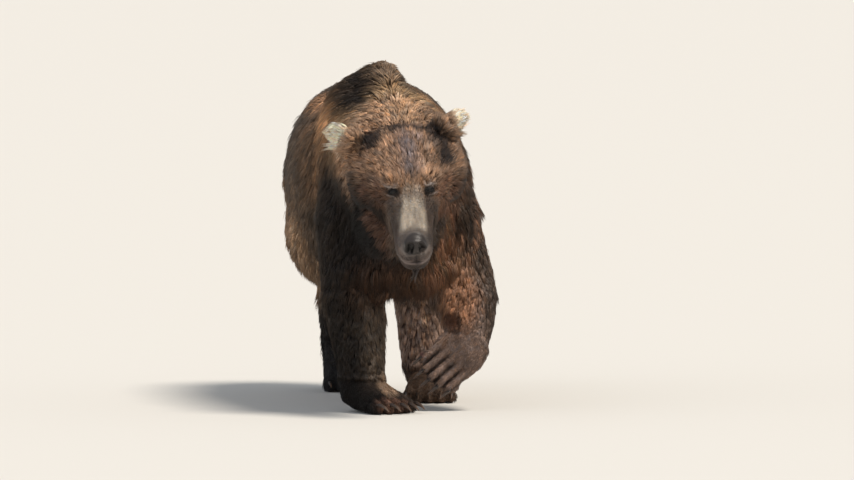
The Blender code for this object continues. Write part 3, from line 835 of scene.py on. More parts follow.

# %% [markdown]
# On the body the strokes are soft blobs: the golden ruff, the dark side of the hump, the black chest,
# partly painted shade, painted shade on the right shoulder, brown locks on the left one, and the marks
# of the lifted leg. One more, a painted shadow, follows the edge of the right jowl, where its lit fur
# ends in front of the shaded shoulder.

# %% Marks of the trunk and legs
BODY_STROKES = [  # centre, radii, colour, strength, and whether it is whole or breaks up into locks
    ((0.00, -0.42, 1.09), (0.16, 0.20, 0.09), "745C46", 0.9, "whole"),
    ((0.02, -0.50, 0.95), (0.20, 0.20, 0.115), GOLD, 0.95, "whole"),
    ((0.14, -0.38, 0.98), (0.12, 0.24, 0.12), TAN, 0.8, "whole"),
    ((0.14, -0.36, 1.03), (0.08, 0.20, 0.12), RUST, 0.85, "locks"),
    # Reddish hair on the right edge of the back, its own colour lightened by painted light where the hump
    # shades it.
    ((-0.212, -0.29, 0.985), (0.052, 0.15, 0.072), "B88C66", 0.95, "whole"),
    ((-0.190, 0.08, 1.015), (0.045, 0.20, 0.045), "AA8262", 0.80, "whole"),
    ((-0.25, -0.18, 0.88), (0.035, 0.20, 0.12), "8A6A50", 0.7, "locks"),
    ((-0.122, -0.42, 1.055), (0.046, 0.16, 0.085), "211B18", 1.0, "whole"),
    ((-0.105, -0.40, 1.105), (0.035, 0.15, 0.050), "241C17", 0.95, "whole"),
    ((-0.045, -0.42, 1.15), (0.032, 0.09, 0.06), "8C7661", 0.9, "whole"),
    ((-0.036, -0.45, 1.14), (0.009, 0.06, 0.05), UMBER, 0.8, "whole"),
    ((0.22, -0.48, 0.76), (0.13, 0.20, 0.24), "3A3029", 0.9, "whole"),
    ((0.22, -0.48, 0.74), (0.13, 0.20, 0.26), "7E5F4C", 0.9, "locks"),
    ((0.115, -0.56, 0.64), (0.08, 0.15, 0.12), "6E4E3E", 0.8, "locks"),
    # Right upper arm and foreleg: their dark brown coat, darkened to near black as painted shade.
    ((-0.23, -0.46, 0.64), (0.15, 0.20, 0.22), "2B2420", 0.92, "whole"),
    # Chest and throat: black, partly their own colour and partly painted shade.
    ((-0.13, -0.60, 0.58), (0.16, 0.17, 0.20), BLACK, 0.97, "whole"),
    ((-0.02, -0.66, 0.58), (0.14, 0.16, 0.10), "241A15", 0.97, "whole"),
    ((-0.01, -0.52, 0.44), (0.18, 0.14, 0.12), "432F22", 0.9, "whole"),
    ((0.13, -0.52, 0.53), (0.08, 0.12, 0.12), "8A6048", 0.85, "locks"),
    ((0.195, -0.44, 0.380), (0.056, 0.09, 0.115), "A2765A", 0.9, "whole"),
    ((0.305, -0.42, 0.36), (0.040, 0.10, 0.16), "4A3D35", 0.85, "whole"),
    ((0.14, -0.40, 0.28), (0.070, 0.08, 0.09), "97755F", 0.85, "locks"),
    ((0.162, -0.465, 0.318), (0.026, 0.05, 0.034), "5E3D2E", 0.8, "whole"),
    # Painted shade beside and below the painted flap at the left elbow.
    ((0.187, -0.465, 0.306), (0.008, 0.05, 0.032), "2A1C16", 0.8, "whole"),
    ((0.170, -0.465, 0.276), (0.022, 0.05, 0.010), "2A1C16", 0.8, "whole"),
    ((-0.035, -0.60, 0.035), (0.075, 0.060, 0.035), "7A5A4A", 0.85, "whole"),
    # Right forepaw's ankle: its own lighter brown, with painted light on its lit inner edge.
    ((-0.060, -0.500, 0.105), (0.036, 0.065, 0.060), "B4967C", 0.95, "whole"),
    ((0.05, -0.44, 0.20), (0.022, 0.04, 0.020), "8C5B58", 0.8, "whole"),
]


def jowl_edge(height):
    """How far to the left the fur of the right jowl ends, at each height."""
    return -0.201 + 0.535 * (0.792 - height)


def body_markings(points, colours):
    x, y, z = points.T
    breaks = {"whole": 1.0, "locks": ramp(0.35, 0.62, streaks(points, 0.020, (1, 1, 0.35), 5))}
    flank = ramp(0.80, 0.58, z + 0.16 * (mottle(points, 0.09, 2) - 0.5)) * ramp(-0.20, 0.05, y)
    flank *= ramp(0.30, 0.42, z) * np.where(x < 0, 1.0, 0.35)
    # Painted shade: the top of the right shoulder, away from the key light, is painted black.
    shaded_right_shoulder = ramp(-0.10, -0.17, x) * ramp(0.86, 0.79, z) * ramp(-0.32, -0.42, y)
    # Painted shadow: near black below the right jowl, on the side of its edge away from its lit fur.
    shadow_under_jowl = ramp(0.0, 0.03, jowl_edge(z) - x) * ramp(0.80, 0.76, z) * ramp(-0.50, -0.58, y)
    colours = paint(colours, (flank, WARM, 0.85), (shaded_right_shoulder, BLACK, 0.9), (shadow_under_jowl, "120E0C", 0.95))
    for centre, radii, colour, strength, kind in BODY_STROKES:
        colours = paint(colours, (spot(points, centre, radii) * breaks[kind], colour, strength))
    return colours


print(len(BODY_STROKES), "strokes on the trunk and legs")

# %% [markdown]
# Marks of the face are placed from the eyes and the nose. Many are bands: a bump about one distance
# ahead or to the side, cut off by ramps in the other direction. Forehead and cheeks come first, with
# painted shade on the forehead's left half, the head's lower sides and the throat, then the dark patches
# about the crown, and last the snout with its pale bridge and painted shade beside it.

# %% Marks of the head
def head_mask(points):
    """1 on the head, 0 away from it: the distance from a line down the middle of the skull."""
    start, end = from_face(0, -0.20, -0.09), from_face(0, 0.25, -0.05)
    line = end - start
    share = np.clip((points - start) @ line / (line @ line), 0, 1)
    away = np.linalg.norm(points - start - share[:, None] * line, axis=1)
    return 1 - ramp(0.20, 0.24, away)


FACE_PATCHES = [  # left, ahead, out, radii
    (-0.118, -0.180, 0.000, (0.042, 0.046, 0.050)),
    (-0.085, -0.245, -0.010, (0.030, 0.030, 0.030)),
    (-0.035, -0.220, 0.020, (0.042, 0.028, 0.030)),
    (0.078, -0.205, 0.010, (0.034, 0.022, 0.030)),
    (0.092, -0.165, 0.005, (0.029, 0.036, 0.045)),
    (0.104, -0.112, -0.005, (0.025, 0.048, 0.045)),
    (0.045, -0.212, 0.020, (0.036, 0.018, 0.030)),
]


def face_markings(points, colours):
    on_the_face = on_face(points)
    left, ahead, out = on_the_face.T
    side = np.abs(left)
    head = head_mask(points)
    patchy = mottle(points, 0.022, 8)
    locks = streaks(on_the_face, 0.016, (1, 0.4, 1), 6)
    fine = streaks(on_the_face, 0.006, (1, 0.22, 1), 11)

    forehead = head * ramp(0.01, -0.03, ahead)
    outer = ramp(0.085, 0.135, side + 0.9 * np.maximum(0, -out - 0.02)) * ramp(-0.16, -0.08, ahead)
    cheek_locks = 0.35 + 0.65 * ramp(0.3, 0.6, locks)
    cheek_right, cheek_left = (
        spot(points, from_face(at_left, -0.01, -0.05), (0.052, 0.078, 0.055)) * cheek_locks
        for at_left in (-0.115, 0.115)
    )
    # Painted shadow on the throat under the right cheek.
    throat_shadow = spot(points, from_face(-0.13, 0.02, -0.17), (0.13, 0.17, 0.10))
    jowl = spot(points, (-0.095, -0.68, 0.63), (0.06, 0.12, 0.09))
    jowl *= ramp(-0.01, 0.01, points[:, 0] - jowl_edge(points[:, 2]))
    beside_jowl = spot(points, from_face(-0.10, 0.055, -0.085), (0.035, 0.06, 0.035))
    brow_and_cheeks = [
        (forehead * (0.55 + 0.45 * locks), "AE8C72", 0.9),
        # Painted shade on the forehead's left half, which the key light brightens.
        (forehead * ramp(0.0, 0.05, left), "7E6450", 0.6),
        # Painted shade on the lower outer sides of the head.
        (head * outer * ramp(-0.02, -0.10, out), "30261F", 0.95),
        (cheek_right, "6E5040", 0.9),
        (cheek_left, "6A4C3B", 0.9),
        (throat_shadow, "0E0B0A", 0.97),
        (jowl * (0.5 + 0.5 * locks), "644A3C", 0.9),
        (beside_jowl * (0.3 + 0.7 * locks), "5A4638", 0.8),
    ]

    line_ahead = -0.225 + 0.30 * left * (left > 0) + 0.5 * left * (left < 0) + 0.03 * (patchy - 0.5)
    line = bump_at(ahead, line_ahead, 0.020) * ramp(0.17, 0.12, side) * ramp(-0.06, -0.03, out)
    grey_crown = bump_at(left, 0.02, 0.055) * bump_at(ahead, -0.165, 0.045)
    stripe = bump_at(left, 0.002, 0.027) * ramp(-0.015, -0.05, ahead) * ramp(-0.20, -0.13, ahead)
    notch = bump_at(left, 0.004, 0.016) * bump_at(ahead, -0.040, 0.018)
    patches = (spot(points, from_face(*centre), radii, 0.5) for *centre, radii in FACE_PATCHES)
    crown = [
        (line * head * (0.4 + 0.6 * patchy), DUSK, 0.95),
        (grey_crown * head * ramp(0.25, 0.6, patchy), GREY, 0.6),
        *((patch * ramp(0.10, 0.40, patchy), "2E2521", 1.0) for patch in patches),
        (stripe * (out > -0.03) * (0.7 + 0.3 * patchy), "6E6668", 0.95),
        (notch * head, "4E423C", 0.85),
    ]

    muzzle = ramp(0.0, 0.05, ahead) * ramp(-0.15, -0.11, out) * head
    bridge_half = 0.024 + 0.026 * ramp(0.0, 0.12, ahead) + 0.014 * (patchy - 0.5)
    bridge = ramp(bridge_half + 0.012, bridge_half - 0.014, side) * ramp(-0.015, 0.03, ahead) * head
    end_of_bridge = ramp(0.145, 0.175, ahead) * ramp(-0.03, -0.01, out) * head
    trough = bump_at(side, 0.050 + 0.09 * ahead, 0.013) * ramp(-0.015, 0.02, ahead) * ramp(0.19, 0.12, ahead)
    under_nose = bump_at(left, 0, 0.024) * ramp(-0.010, -0.018, out) * ramp(0.19, 0.21, ahead)
    snout = [
        (muzzle, "655850", 0.92),
        (muzzle * ramp(-0.015, -0.05, out) * ramp(0.09, 0.19, ahead), LILAC, 0.85),
        (bridge * ramp(-0.025, -0.010, out) * (0.45 + 0.55 * fine), BEIGE, 1.0),
        (bridge * ramp(0.060, 0.02, ahead) * ramp(-0.02, 0, ahead), "77695E", 0.95),
        (end_of_bridge * (0.7 + 0.3 * fine), "6F6460", 0.9),
        # Painted shade in the troughs beside the bridge, stronger on the right side.
        (trough * head * np.where(left < 0, 1.0, 0.8), "5C5047", 0.85),
        # Painted shade on the muzzle's left side, which the key light brightens.
        (muzzle * ramp(0.032, 0.046, left) * ramp(0.21, 0.17, ahead), "443831", 0.9),
        (muzzle * ramp(-0.002, -0.010, out - mouth_height(ahead)), "50443F", 0.9),
        (ramp(1.6, 1.1, from_pad(left, ahead)) * ramp(-0.03, -0.012, out) * head, "4C4542", 0.6),
        (under_nose * head, "463D39", 0.8),
    ]
    return paint(colours, *brow_and_cheeks, *crown, *snout)


print(len(FACE_PATCHES), "dark patches about the crown")

# %% [markdown]
# Eyes lie in dark sockets, dark skin deepened by painted shade, with a pale fold above and below, and
# the ears have cream rims. Then all the marks are laid on the skin's points. Skin and tufts both take
# their colour from there, so the coat and what shows between its tufts always agree.

# %% Marks of the eyes and ears, and the whole coat's colour
def oval(h, v, middle_h, middle_v, half_h, half_v):
    """An oval with a flat top, in an eye's own directions: across the lids and up over the ball."""
    return np.exp(-((((h - middle_h) / half_h) ** 2 + ((v - middle_v) / half_v) ** 2) ** 2))


def eye_markings(points, colours):
    """Pale folds over and under each eye, and dark skin from corner to corner, deepened by painted shade in
    the socket and at the inner corner.
    """
    for side in EYES:
        h, v, w = lid_coordinates(points, side).T
        near = ramp(-0.045, -0.03, w) * ramp(0.06, 0.04, np.hypot(h, v))
        folds = bump_at(v + 0.010 * h * np.abs(h) / MM, 15 * MM, 5 * MM) + 0.6 * bump_at(v, -15 * MM, 3 * MM)
        folds *= 0.45 + 0.55 * streaks(points, 0.007, (1, 1, 1), 4)
        inner_corner = spot(np.stack([h, v, 0 * h], axis=1), (-19 * MM, -9 * MM, 0), (8 * MM, 12 * MM, 1))
        colours = paint(
            colours,
            # Dark skin about the eye and at its inner corner, deepened by painted shade in the deep socket.
            (near * oval(h, v, -3 * MM, -1 * MM, 28 * MM, 19 * MM), "2B221E", 0.9),
            (near * folds * ramp(28 * MM, 10 * MM, np.abs(h - 2 * MM)), "B3A7A0", 0.85),
            (near * inner_corner, "241C18", 0.85),
            (near * oval(h, v, -2 * MM, 1 * MM, 21 * MM, 11 * MM), "1A1411", 0.95),
        )
    return colours


def ear_markings(points, colours):
    """Cream on the rims of the ears and down their outer sides."""
    broken = 0.68 + 0.32 * ramp(0.3, 0.6, streaks(points, 0.008, (1, 1, 1), 9))
    for side, reach in (("right", 0.016), ("left", -0.004)):
        centre, tip, _, outwards = ear_axes(side)
        near = spot(points, centre, (0.085, 0.085, 0.085), 0.1)
        rim = ramp(-0.010, 0.012, (points - centre) @ unit(tip + outwards * 0.8) + reach)
        colours = paint(colours, (rim * near * broken, CREAM, 1.0))
    return colours


def markings(points, colours):
    """The colour of the coat at each point, from the ground colour of its part."""
    for stage in (body_markings, face_markings, ear_markings, eye_markings):
        colours = stage(points, colours)
    broad, fine = mottle(points, 0.06, 3), streaks(points, 0.016, (1, 1, 0.45), 4)
    return colours * (0.68 + 0.64 * fine)[:, None] * (0.80 + 0.40 * broad)[:, None]


ground = eased(np.array([linear(colour) for colour in by_part(GROUND)])[part], around, 16)
# Painted shade in the grooves between the toes of the forepaws.
between_toes = np.maximum(0, -toes) * in_parts("forepaw_left", "forepaw_right")
coat_colour = paint(markings(places, ground), (between_toes, "0F0C0B", 0.95))
print("mean coat colour", coat_colour.mean(0).round(3))

# %% [markdown]
# Roots are scattered over the skin, each part at its own number to the square decimetre. Triangles
# are drawn in turn along a running total of their share, so the spacing is more even than chance.
# A root carries the skin's qualities, and its place on the skin's unwrap.

# %% Scatter the roots
COAT_FULLNESS = 0.98  # scales the number of tufts everywhere
DM2_IN_M2 = 100
rng = np.random.default_rng(7)
hide.calc_loop_triangles()
triangles = read(hide.loop_triangles, "vertices", 3, np.int32)
corner_uv = read(hide.uv_layers["OFBake"].uv, "vector", 2)[read(hide.loop_triangles, "loops", 3, np.int32)]
edge_a = places[triangles[:, 1]] - places[triangles[:, 0]]
edge_b = places[triangles[:, 2]] - places[triangles[:, 0]]
area = 0.5 * np.linalg.norm(np.cross(edge_a, edge_b), axis=1)
share = area * coat[triangles, NUMBER].mean(1) * DM2_IN_M2 * COAT_FULLNESS
total = int(share.sum())
running = np.cumsum(share)
drawn = (np.arange(total) + rng.random(total)) / total * running[-1]
face_of_root = np.minimum(np.searchsorted(running, drawn), len(share) - 1)
first, second = rng.random((2, total))
folded = first + second > 1
first, second = np.where(folded, 1 - first, first), np.where(folded, 1 - second, second)
mix = np.stack([1 - first - second, first, second], axis=1)


def at_roots(values):
    """Values of the skin's points, read at the roots."""
    shape = (-1, 3) + (1,) * (values.ndim - 1)
    return (values[triangles[face_of_root]] * mix.reshape(shape)).sum(1)


root = at_roots(places)
root_normal = unit(at_roots(normals))
root_lie = unit(along_skin(at_roots(lie), root_normal))
root_coat = at_roots(coat)
root_colour = at_roots(coat_colour)
root_uv = (corner_uv[face_of_root] * mix[:, :, None]).sum(1)
root_part = part[triangles[face_of_root, np.argmax(mix, axis=1)]]
print(total, "tufts on", round(float(area.sum()), 2), "square metres")

# %% [markdown]
# Hair sticks together in locks. About one root in ten, drawn by chance, leads a lock, and the others
# take after the leader that stands nearest: its length, its turn and its shade, and their tips bend
# towards its tip. Wet legs have the largest locks. A tree of the leaders finds the nearest one.

# %% Gather the tufts into locks
leader = np.flatnonzero(rng.random(total) < 1 / (5 + 11 * root_coat[:, LOCK]))
tree = KDTree(len(leader))
for number, place in enumerate(root[leader]):
    tree.insert(Vector(place), number)
tree.balance()
lock_of = leader[[tree.find(Vector(place))[1] for place in root]]


def varied(spread, own=0.5):
    """A number about 1 for each tuft, part shared by its lock and part its own."""
    shared = rng.normal(0, 1, total)
    return 1 + spread * ((1 - own) * shared[lock_of] + own * rng.normal(0, 1, total))


def turned(vectors, axes, angles):
    """Vectors turned about unit axes that stand across them."""
    side = np.cross(axes, vectors)
    return vectors * np.cos(angles)[:, None] + side * np.sin(angles)[:, None]


print(len(leader), "locks")

# %% [markdown]
# A tuft is a thin solid spindle: a point in the skin, a three-sided ring where it bends, and a tip.
# It leans so that its tip comes to the height that the coat has there, and long hair droops towards
# the tip. It is dark at the root, where little light reaches, and paler at the tip.

# %% Shape the tufts
ROOTED = 1.5 * MM  # how deep the root stands in the skin
STRAY_TUFTS, FROSTED_TUFTS, GLINTING_LOCKS = 0.04, 0.08, 0.05
length = root_coat[:, LENGTH] * MM * np.clip(varied(0.24), 0.5, 1.5)
width = root_coat[:, WIDTH] * MM * np.clip(varied(0.22, 0.9), 0.5, 1.6)
stray = rng.random(total) < STRAY_TUFTS
stand = root_coat[:, DEPTH] * MM * np.clip(varied(0.26), 0.4, 1.3) * np.where(stray, 1.35, 1.0)
width = width * np.where(stray, 0.6, 1.0)
lean = np.arcsin(np.clip(stand / (0.70 * length), 0.05, 0.80))
long_hair = ramp(8, 40, root_coat[:, LENGTH])
loose = 0.35 + 0.65 * long_hair
whorl = 0.6 * (mottle(root, 0.10, 12) - 0.5) * (1 - 0.6 * root_coat[:, LOCK])
heading = turned(root_lie, root_normal, (whorl + 0.20 * (varied(1.0, 0.45) - 1)) * loose)
rise = np.sin(lean)[:, None] * root_normal
low_way = unit(heading * np.cos(lean)[:, None] + rise)
droop = np.array([0, 0, -1.0]) * ((0.13 + 0.24 * root_coat[:, LOCK]) * long_hair)[:, None]
curl = turned(heading, root_normal, 0.20 * (varied(1.0, 0.6) - 1) * loose)
high_way = unit(curl * np.cos(lean)[:, None] + rise * 0.35 + droop)
foot = root - root_normal * ROOTED
bend = root + low_way * (length * 0.5)[:, None]
tip = bend + high_way * (length * 0.5)[:, None]
hold = np.clip(root_coat[:, LOCK], 0, 1)[:, None]
tip = tip + hold * 0.80 * (tip[lock_of] - tip)
bend = bend + hold * 0.35 * (bend[lock_of] - bend)
tip[:, 2] = np.maximum(tip[:, 2], 1 * MM)
bend[:, 2] = np.maximum(bend[:, 2], 2 * MM)
# Frosted tufts have pale grizzled tips; glinting locks are whole locks made paler, a painted highlight of wet
# hair.
frost_and_glint = (rng.random(total) < FROSTED_TUFTS) | (rng.random(total)[lock_of] < GLINTING_LOCKS)
spread = 0.08 + 0.19 * long_hair + 0.07 * root_coat[:, LOCK]
shade = np.clip(varied(spread, 0.35), 0.35, 2.0) * np.where(frost_and_glint, 1.0 + 0.45 * long_hair, 0.98)
warmth = (varied(0.09, 0.5) - 1)[:, None] * np.array([1.0, 0.1, -1.0])
tuft_colour = np.clip(root_colour * shade[:, None] * (1 + warmth), 0.002, 0.95)
root_shade, tip_shade = 0.86 - 0.34 * long_hair, 1.06 + 0.24 * long_hair
print(f"tufts {1000 * length.min():.0f} to {1000 * length.max():.0f} mm long")

# %% [markdown]
# Blender takes big meshes fastest as flat arrays: all points, then all corners, then where each face
# starts. The same spindle repeats for every tuft, so its six triangles are written once and shifted.
# On the map a tuft is a small patch at its root's place. Each point also stores how wet its hair is.

# %% Turn tufts into meshes
TUFT_POINTS = 5  # the root, three round the bend, the tip
TUFT_FACES = np.array([(2, 1, 0), (3, 2, 0), (1, 3, 0), (1, 2, 4), (2, 3, 4), (3, 1, 4)])
TUFT_MAP = np.array([(0, -0.5), (-0.5, 0), (0, 0), (0.5, 0), (0, 0.5)])
UP_THE_TUFT = np.array([0, 0.5, 0.5, 0.5, 1])
PATCH = 0.003  # width of a tuft's place on the map


def spindles(chosen):
    """Points, colours and map places of the chosen tufts."""
    start, bent, end = foot[chosen], bend[chosen], tip[chosen]
    way = unit(end - start)
    across = unit(np.cross(root_normal[chosen], way))
    half = (width[chosen] / 2)[:, None]
    ridge = bent + np.cross(way, across) * half * 0.8
    points = np.stack([start, bent - across * half, ridge, bent + across * half, end], axis=1)
    low, high = root_shade[chosen, None], tip_shade[chosen, None]
    shades = low + (high - low) * UP_THE_TUFT**0.7
    colours = tuft_colour[chosen][:, None, :] * shades[:, :, None]
    maps = root_uv[chosen][:, None, :] + TUFT_MAP * PATCH
    return points.reshape(-1, 3), colours.reshape(-1, 3), maps.reshape(-1, 2)


def set_colour(mesh, name, colours):
    values = np.ones((len(colours), 4), np.float32)
    values[:, :3] = colours
    mesh.color_attributes.new(name, "FLOAT_COLOR", "POINT").data.foreach_set("color", values.ravel())


def set_value(mesh, name, values):
    mesh.attributes.new(name, "FLOAT", "POINT").data.foreach_set("value", values.astype(np.float32))


def tuft_mesh(name, chosen):
    points, colours, maps = spindles(chosen)
    corners = (np.arange(len(chosen))[:, None] * TUFT_POINTS + TUFT_FACES.ravel()).ravel()
    mesh = bpy.data.meshes.new(name)
    mesh.vertices.add(len(points))
    mesh.vertices.foreach_set("co", points.astype(np.float32).ravel())
    mesh.loops.add(len(corners))
    mesh.loops.foreach_set("vertex_index", corners.astype(np.int32))
    mesh.polygons.add(len(corners) // 3)
    mesh.polygons.foreach_set("loop_start", np.arange(0, len(corners), 3, dtype=np.int32))
    mesh.update(calc_edges=True)
    mesh.shade_smooth()
    mesh.uv_layers.new(name="OFBake").uv.foreach_set("vector", maps[corners].astype(np.float32).ravel())
    set_colour(mesh, "coat", colours)
    set_value(mesh, "wet", np.repeat(root_wet[chosen], TUFT_POINTS))
    return mesh


WETNESS = {
    "forearm_left": 0.9, "forepaw_left": 0.9, "upper_arm_left": 0.6, "shank_left": 0.9, "thigh_left": 0.4,
    "forearm_right": 0.5, "forepaw_right": 0.8, "upper_arm_right": 0.3, "shank_right": 0.7,
    "hindpaw": 0.8, "lower_jaw": 0.6,
}
DAMP = 0.12
wetness = eased(np.array(by_part(WETNESS, DAMP))[part], around, 16)
wetness = np.maximum(wetness, 0.8 * spot(places, (0.20, -0.48, 0.66), (0.12, 0.2, 0.25)))
root_wet = at_roots(wetness)
print("wet share of the coat", round(float(root_wet.mean()), 2))

# %% [markdown]
# Materials are built from nodes. One helper adds a node, sets what is given as a plain value and links
# what is given as another node, from its first output unless another is named. The smaller ones read a
# value stored on the mesh, lay colours along a value, and finish a material with its one shader.

# %% Node helpers
def add_node(tree, kind, settings=None, **inputs):
    """A shader node. In input names _ stands for a space, and i0, i1 ... are inputs by number."""
    added = tree.nodes.new("ShaderNode" + kind)
    for key, value in (settings or {}).items():
        setattr(added, key, value)
    for key, value in inputs.items():
        by_number = key[0] == "i" and key[1:].isdigit()
        socket = added.inputs[int(key[1:]) if by_number else key.replace("_", " ")]
        if isinstance(value, bpy.types.Node):
            value = value.outputs[0]
        if isinstance(value, bpy.types.NodeSocket):
            tree.links.new(value, socket)
        else:
            socket.default_value = value
    return added


def new_material(name):
    """An empty node material and its tree."""
    material = bpy.data.materials.new(name)
    material.use_nodes = True
    material.node_tree.nodes.clear()
    return material, material.node_tree


def rgba(hex_colour):
    return (*linear(hex_colour), 1.0)


def stored(tree, name, output="Fac"):
    return add_node(tree, "Attribute", {"attribute_name": name}).outputs[output]


def colours_along(tree, value, *stops):
    """Colours at positions from 0 to 1. A new ramp has two stops, and the others are added."""
    bands = add_node(tree, "ValToRGB", Fac=value)
    marks = bands.color_ramp.elements
    for index, (position, hex_colour) in enumerate(stops):
        mark = marks[index] if index < 2 else marks.new(position)
        mark.position, mark.color = position, rgba(hex_colour)
    return bands


def finish_with(tree, **inputs):
    """Ends a material with one principled shader and its output."""
    shader = add_node(tree, "BsdfPrincipled", **inputs)
    add_node(tree, "OutputMaterial", Surface=shader)


print("node helpers ready")

# %% [markdown]
# Guard hair is keratin, a translucent horn-like fibre of IOR 1.55 with a rough, scaly cuticle. Dry hair
# scatters light into a soft sheen; wet hair holds a film of water and shines. The real hairs are 0.1 mm
# thick, too fine to show, so the streaks here are drawn about 1.5 mm wide.

# %% Guard hair
HAIR_IOR = 1.55
HAIR_STREAK = 1.5 * MM


def guard_hair():
    material, tree = new_material("guard_hair")
    place = add_node(tree, "TexCoord").outputs["Object"]
    strands = add_node(tree, "TexNoise", Vector=place, Scale=1 / HAIR_STREAK, Detail=2.0, Roughness=0.6)
    strength = add_node(tree, "MapRange", Value=strands, From_Min=0.3, From_Max=0.7, To_Min=0.82, To_Max=1.18)
    colour = stored(tree, "coat", "Color")
    streaked = add_node(tree, "VectorMath", {"operation": "SCALE"}, i0=colour, Scale=strength)
    gloss = add_node(tree, "MapRange", Value=stored(tree, "wet"), To_Min=0.68, To_Max=0.34)
    finish_with(tree, Base_Color=streaked, Roughness=gloss, IOR=HAIR_IOR, Specular_IOR_Level=0.24)
    return material


hair = guard_hair()
print("material", hair.name)

# %% [markdown]
# Fewer than 200,000 triangles go into one piece of coat, and a tuft has six. Roots are sorted into
# regions, and a region that is too full is cut from nose to tail into pieces of equal number.

# %% Grow the coat
MOST_TRIANGLES = 195000
COAT_PIECES = {  # parts, and a material name that no piece uses
    "coat_head": (("head", "lower_jaw"), "coat_gold"),
    "coat_ears": (both("ear"), "ear_cream"),
    "coat_neck": (("neck",), "coat_gold"),
    "coat_shoulders": (("shoulders",), "coat_brown"),
    "coat_barrel": (("barrel",), "coat_brown"),
    "coat_rump": (("hindquarters", "tail"), "coat_brown"),
    "coat_upper_arms": (both("upper_arm"), "coat_dark"),
    "coat_forearms": (both("forearm"), "coat_dark"),
    "coat_thighs": (both("thigh"), "coat_brown"),
    "coat_shanks": (both("shank"), "coat_dark"),
    "coat_feet": (FEET, "coat_dark"),
}
coat_triangles = 0
for region, (names, slot) in COAT_PIECES.items():
    chosen = np.flatnonzero(is_part(root_part, *names))
    chosen = chosen[np.argsort(root[chosen, 1], kind="stable")]
    triangles_here = len(chosen) * len(TUFT_FACES)
    coat_triangles += triangles_here
    pieces = math.ceil(triangles_here / MOST_TRIANGLES)
    for number, lot in enumerate(np.array_split(chosen, pieces), 1):
        name = region if pieces == 1 else f"{region}_{number}"
        piece = add_object(name, tuft_mesh(name, lot))
        piece.data.materials.append(hair)
        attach(piece, "root")
        print(name, len(lot), "tufts")
print(coat_triangles, "triangles of coat")

# %% [markdown]
# Under the fur the hide has the coat's colours, a little darker, and darker still under long hair as
# painted shade beneath the coat. Where it is bare it is leather: the nose pad is pebbled with cells of
# about 2 mm and damp, the lips are smooth, and the rims of the eyelids are nearly black. Nostrils and
# the gap of the mouth are near black inside, as painted shade. One material holds both and mixes them
# by how bare the skin is.

# %% Hide and nose leather
NOSE_BLACK, LIP, LID_RIM, SHADE_IN_HOLES = "302B29", "6E605A", "0C0908", "0D0A09"
PEBBLE, STUBBLE = 2.0 * MM, 1.6 * MM
LEATHER_IOR = 1.45
hide_colour = paint(
    # The hide darkens under longer hair: painted shade beneath the coat.
    coat_colour * (0.95 - 0.25 * ramp(6, 34, coat[:, LENGTH]))[:, None],
    (lips * ramp(0.14, 0.21, ahead), LIP, 1),
    (np.maximum(pad, groove * on_muzzle), NOSE_BLACK, 1),
    # Painted shade: nostrils and the gap of the mouth are near black inside.
    (np.maximum(nostril, gap * on_muzzle), SHADE_IN_HOLES, 1),
    *((lid_rim(side, 1.5, 2.1, 2 * MM, 0.0058), LID_RIM, 1) for side in EYES),
)
set_colour(hide, "coat", hide_colour)
set_value(hide, "bare", bare * (1 - 0.75 * near_eyes(places, 0.028, 0.034)))


def bear_hide():
    material, tree = new_material("bear_hide")
    bare_share = stored(tree, "bare")
    place = add_node(tree, "TexCoord").outputs["Object"]
    pebbles = add_node(tree, "TexVoronoi", Vector=place, Scale=1 / PEBBLE)
    stubble = add_node(tree, "TexNoise", Vector=place, Scale=1 / STUBBLE, Detail=4.0)
    height = add_node(tree, "Mix", {"data_type": "FLOAT"}, i0=bare_share, i2=stubble, i3=pebbles)
    bump = add_node(tree, "Bump", Height=height, Strength=0.5, Distance=0.6 * MM)
    gloss = add_node(tree, "MapRange", Value=bare_share, To_Min=0.75, To_Max=0.36)
    finish_with(
        tree,
        Base_Color=stored(tree, "coat", "Color"),
        Roughness=gloss,
        IOR=LEATHER_IOR,
        Specular_IOR_Level=0.35,
        Normal=bump,
    )
    return material


hide.materials.append(bear_hide())
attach(skin, "root")
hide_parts(*FLESH)
print("hide painted")

# %% [markdown]
# A bear's eye is dark brown all over, with a round pupil and a wet cornea. The colour depends on the
# distance from the line of sight, so each eye has its own material with its own centre.

# %% Eyes
CORNEA_IOR = 1.38
IRIS_REACH, IRIS_FIBRE = 10 * MM, 0.8 * MM


def eyeball(side):
    material, tree = new_material("wet_eye_" + side)
    pole = EYES[side] + eye_axes(side)[2] * EYE_RADIUS
    place = add_node(tree, "TexCoord").outputs["Object"]
    away = add_node(tree, "VectorMath", {"operation": "DISTANCE"}, i0=place, i1=tuple(pole))
    ring = add_node(tree, "MapRange", Value=away.outputs["Value"], From_Min=0, From_Max=IRIS_REACH)
    iris = colours_along(tree, ring, (0.36, "050403"), (0.42, "24170E"), (0.85, "1A100A"))
    fibres = add_node(tree, "TexNoise", Vector=place, Scale=1 / IRIS_FIBRE)
    flecked = add_node(
        tree, "Mix", {"data_type": "RGBA", "blend_type": "MULTIPLY"}, i0=0.4, i6=iris, i7=fibres.outputs[1]
    )
    finish_with(
        tree,
        Base_Color=flecked.outputs[2],
        Roughness=0.3,
        IOR=CORNEA_IOR,
        Specular_IOR_Level=0.3,
        Coat_Weight=0.4,
        Coat_Roughness=0.04,
    )
    return material


for side in EYES:
    NODES["eye_" + side].data.materials.clear()
    NODES["eye_" + side].data.materials.append(eyeball(side))
print("two eyes of radius", round(1000 * EYE_RADIUS, 1), "mm")

# %% [markdown]
# Claws are horn, grown in long fibres from the toe. They are dark brown at the base, with pale
# streaks along them and worn, amber tips. The colour runs along the way the claws point, from base
# to tip of each claw's own box, and the streaks are noise drawn out in the same direction.

